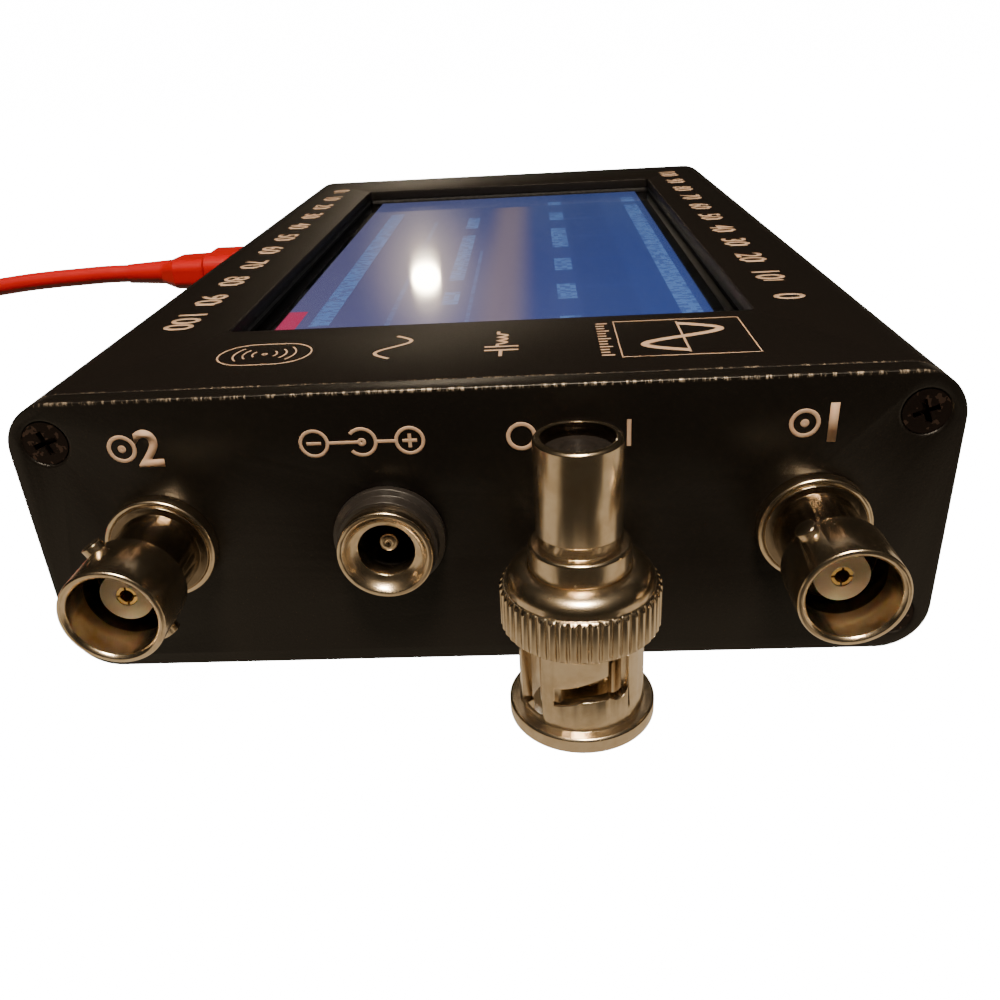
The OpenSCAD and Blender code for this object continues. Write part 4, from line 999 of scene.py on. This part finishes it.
class ANALYZER_OT_charge_jack(bpy.types.Operator):
    """Charge jack"""

    bl_idname = "analyzer.charge_jack"
    bl_label = "Charge jack"

    def execute(self, context):
        metal = warm_nickel("charge_nickel", CHARGE, "y")
        refined("charge_jack_rim", metal, "analyzer", 0.06 * MM)
        refined("charge_jack_pin", metal, "analyzer", 0.05 * MM)
        refined("charge_jack_barrel", black_moulding("jack_moulding", 0.3), "analyzer",
                0.06 * MM)
        give(bright_sheet("charge_nut_steel"), "charge_jack_nut")
        return {"FINISHED"}


class ANALYZER_OT_power_button(bpy.types.Operator):
    """Power button and its switch"""

    bl_idname = "analyzer.power_button"
    bl_label = "Power button"

    def execute(self, context):
        give(black_moulding("button_moulding", 0.3), "power_button")
        give(black_moulding("switch_moulding", 0.45), "power_switch_body")
        return {"FINISHED"}


class ANALYZER_OT_load_plug(bpy.types.Operator):
    """Load plug with its coupling nut"""

    bl_idname = "analyzer.load_plug"
    bl_label = "Load plug"

    def execute(self, context):
        # Painted shade down in the bore at the plug's top
        metal = warm_nickel("load_nickel", LOAD, "z", load_recess)
        refined("load_coupling_nut", metal, "load_nut", 0.05 * MM)
        refined("load_body", metal, "load_plug", 0.06 * MM)
        give(metal, "load_contact_sleeve")
        # Painted shade: the end plug is black to stand in for the dark room it mirrors in the
        # plug's top
        give(black_moulding("load_end_shade_black", 0.15), "load_end_plug")
        give(cream_insulator(), "load_insulator")
        give(turned_gold(), "load_centre_pin")
        give(coated_ceramic(), "load_resistor")
        give(bright_sheet("spring_sheet", (0.5, 0.5, 0.5)), "load_wave_spring")
        return {"FINISHED"}


class ANALYZER_OT_inside(bpy.types.Operator):
    """Boards, sockets, battery and what holds them"""

    bl_idname = "analyzer.inside"
    bl_label = "Inside"

    def execute(self, context):
        give(board_laminate(), "main_board", "rf_board")
        give(chip_epoxy(), "main_board_chips", "rf_board_parts", "board_header")
        give(bright_sheet("can_steel"), "rf_shield_cans", "usb_socket", "board_screws")
        give(bright_sheet("spacer_brass", (0.72, 0.55, 0.26)), "board_spacers")
        give(cell_foil(), "battery_cell")
        give(wire_jacket(), "battery_leads")
        give(cream_moulding(), "battery_plug", "ribbon_socket")
        return {"FINISHED"}


# ------------------------------------------------------------------ printed marks


class ANALYZER_OT_panel_marks(bpy.types.Operator):
    """Plain numbers and signs over the connectors"""

    bl_idname = "analyzer.panel_marks"
    bl_label = "Panel marks"

    def execute(self, context):
        face = upright(PANEL_FACE)
        parts = []
        high = sizes().port_mark_height
        for digit, x, z in (("2", -31.6, 25.65), ("1", 33.2, 25.8)):
            parts.append(ink_number("port_number", digit, high, (x * MM, z * MM), face, 1.0, 0.03))
            ring = (x - 2.6) * MM, z * MM
            parts.append(ink_strokes("port_sign", [arc(ring, 1.25 * MM, 0, 360)], 0.42 * MM, face))
            parts.append(ink_strokes("port_dot", [arc(ring, 0.2 * MM, 0, 360)], 0.42 * MM, face))
        # Polarity of the charge plug: minus, the jack in section, plus
        x, z = -10.9, 25.5
        signs = [
            arc(((x - 4.6) * MM, z * MM), 1.3 * MM, 0, 360),
            arc(((x + 4.6) * MM, z * MM), 1.3 * MM, 0, 360),
            arc((x * MM, z * MM), 1.35 * MM, -140, 140),
            arc((x * MM, z * MM), 0.25 * MM, 0, 360),
            [((x - 5.3) * MM, z * MM), ((x - 3.9) * MM, z * MM)],
            [((x + 3.9) * MM, z * MM), ((x + 5.3) * MM, z * MM)],
            [((x + 4.6) * MM, (z - 0.7) * MM), ((x + 4.6) * MM, (z + 0.7) * MM)],
            [((x - 3.3) * MM, z * MM), ((x - 0.2) * MM, z * MM)],
            [((x + 1.35) * MM, z * MM), ((x + 3.3) * MM, z * MM)],
        ]
        parts.append(ink_strokes("charge_sign", signs, 0.36 * MM, face))
        # Ring for off and bar for on, with a stroke between them
        signs = [
            arc((4.3 * MM, z * MM), 1.25 * MM, 0, 360),
            [(8.3 * MM, (z - 1.4) * MM), (9.9 * MM, (z + 1.4) * MM)],
            [(14.4 * MM, (z - 1.35) * MM), (14.4 * MM, (z + 1.35) * MM)],
        ]
        parts.append(ink_strokes("power_sign", signs, 0.42 * MM, face))
        piece_from("panel_marks", joined(parts), printed_ink(), "analyzer", smooth=False)
        return {"FINISHED"}


class ANALYZER_OT_lid_marks(bpy.types.Operator):
    """Number scales along the lid and generic signs before the screen"""

    bl_idname = "analyzer.lid_marks"
    bl_label = "Lid marks"

    def execute(self, context):
        lid = lying(LID_TOP)
        parts = []

        def at(x, y):
            """A place on the lid in the flat frame: reading runs along -Y, tops to +X."""
            return (-y * MM, x * MM)

        for x, numbers, start, pitch in ((-36.1, range(0, 110, 10), 57.5, 10.2),
                                         (35.4, range(100, -10, -10), 58.5, 10.3)):
            for i, number in enumerate(numbers):
                parts.append(ink_number("scale_number", str(number), 3.6 * MM,
                                        at(x, start - pitch * i), lid, 1.05, 0.012))
            ticks = [[at(x - 1.2, y), at(x + 1.2, y)]
                     for y in (start - pitch * (i + 0.25) for i in range(10))]
            parts.append(ink_strokes("scale_ticks", ticks, 0.4 * MM, lid))
        # Radio waves in a round-ended frame
        cx, cy = -22.7, -58.45
        frame_line = (arc(at(cx + 1.5, cy), 3.45 * MM, 0, 180, 20)
                      + arc(at(cx - 1.5, cy), 3.45 * MM, 180, 360, 20))
        frame_line.append(frame_line[0])
        waves = [frame_line]
        for toward in (-90, 90):
            for r in (1.3, 2.3, 3.3):
                waves.append(arc(at(cx, cy), r * MM, toward - 38, toward + 38, 12))
        waves.append(arc(at(cx, cy), 0.25 * MM, 0, 360, 10))
        parts.append(ink_strokes("radio_sign", waves, 0.2 * MM, lid))
        # Sine wave on an axis
        cx, cy = -9.1, -57.8
        wave = [at(cx + 1.7 * math.sin(TURN * i / 32), cy + 3.8 - 7.6 * i / 32)
                for i in range(33)]
        parts.append(ink_strokes("wave_sign", [wave], 0.42 * MM, lid))
        # Coil and capacitor
        cx, cy = 2.5, -58.1
        coil = [at(cx - 0.6, cy + 4.2)]
        for i in range(3):
            coil += [at(cx - 0.6 + 0.95 * math.sin(math.pi * k / 10),
                        cy + 3.4 - 1.2 * i - 1.2 * k / 10) for k in range(11)]
        coil.append(at(cx - 0.6, cy - 1.0))
        plates = [[at(cx - 1.9, cy - 1.0), at(cx + 1.6, cy - 1.0)],
                  [at(cx - 1.9, cy - 2.2), at(cx + 1.6, cy - 2.2)],
                  [at(cx - 0.2, cy - 2.2), at(cx - 0.2, cy - 4.2)]]
        parts.append(ink_strokes("coil_sign", [coil] + plates, 0.4 * MM, lid))
        # Framed sine wave with ticks beside it
        cx, cy = 21.15, -58.05
        box = [at(cx - 6.75, cy - 6.05), at(cx + 6.75, cy - 6.05), at(cx + 6.75, cy + 6.05),
               at(cx - 6.75, cy + 6.05), at(cx - 6.75, cy - 6.05)]
        parts.append(ink_strokes("frame_sign", [box], 0.2 * MM, lid))
        wave = [at(cx + 4.2 * math.sin(TURN * i / 40), cy + 4.6 - 9.2 * i / 40)
                for i in range(41)]
        axis = [[at(cx, cy + 5.2), at(cx, cy - 5.2)]]
        parts.append(ink_strokes("framed_wave", [wave], 0.9 * MM, lid))
        parts.append(ink_strokes("framed_axis", axis, 0.25 * MM, lid))
        ticks = [[at(12.4, cy + 5.5 - 0.9 * i), at(13.3 + 0.4 * (i % 3 == 0), cy + 5.5 - 0.9 * i)]
                 for i in range(13)]
        parts.append(ink_strokes("small_ticks", ticks, 0.28 * MM, lid))
        piece_from("lid_marks", joined(parts), printed_ink(), "analyzer", smooth=False)
        return {"FINISHED"}


# ------------------------------------------------------------------ add-on


class ANALYZER_PT_panel(bpy.types.Panel):
    bl_label = "Antenna analyzer"
    bl_idname = "ANALYZER_PT_panel"
    bl_space_type = "VIEW_3D"
    bl_region_type = "UI"
    bl_category = "Analyzer"

    def draw(self, context):
        for group in (context.scene.analyzer_sizes, context.scene.analyzer_colours):
            box = self.layout.box()
            for name in group.__annotations__:
                box.prop(group, name)
        for operator in OPERATORS:
            self.layout.operator(operator.bl_idname)


OPERATORS = (
    ANALYZER_OT_stage, ANALYZER_OT_cord, ANALYZER_OT_lead_ends, ANALYZER_OT_case,
    ANALYZER_OT_screen, ANALYZER_OT_ports, ANALYZER_OT_charge_jack, ANALYZER_OT_power_button,
    ANALYZER_OT_load_plug, ANALYZER_OT_inside, ANALYZER_OT_panel_marks, ANALYZER_OT_lid_marks,
)
CLASSES = (AnalyzerSizes, AnalyzerColours) + OPERATORS + (ANALYZER_PT_panel,)


def register():
    for kind in CLASSES:
        bpy.utils.register_class(kind)
    bpy.types.Scene.analyzer_sizes = bpy.props.PointerProperty(type=AnalyzerSizes)
    bpy.types.Scene.analyzer_colours = bpy.props.PointerProperty(type=AnalyzerColours)


def unregister():
    del bpy.types.Scene.analyzer_sizes
    del bpy.types.Scene.analyzer_colours
    for kind in reversed(CLASSES):
        bpy.utils.unregister_class(kind)


def main():
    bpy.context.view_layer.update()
    register()
    for operator in OPERATORS:
        group, name = operator.bl_idname.split(".")
        getattr(getattr(bpy.ops, group), name)()


if __name__ == "__main__":
    main()
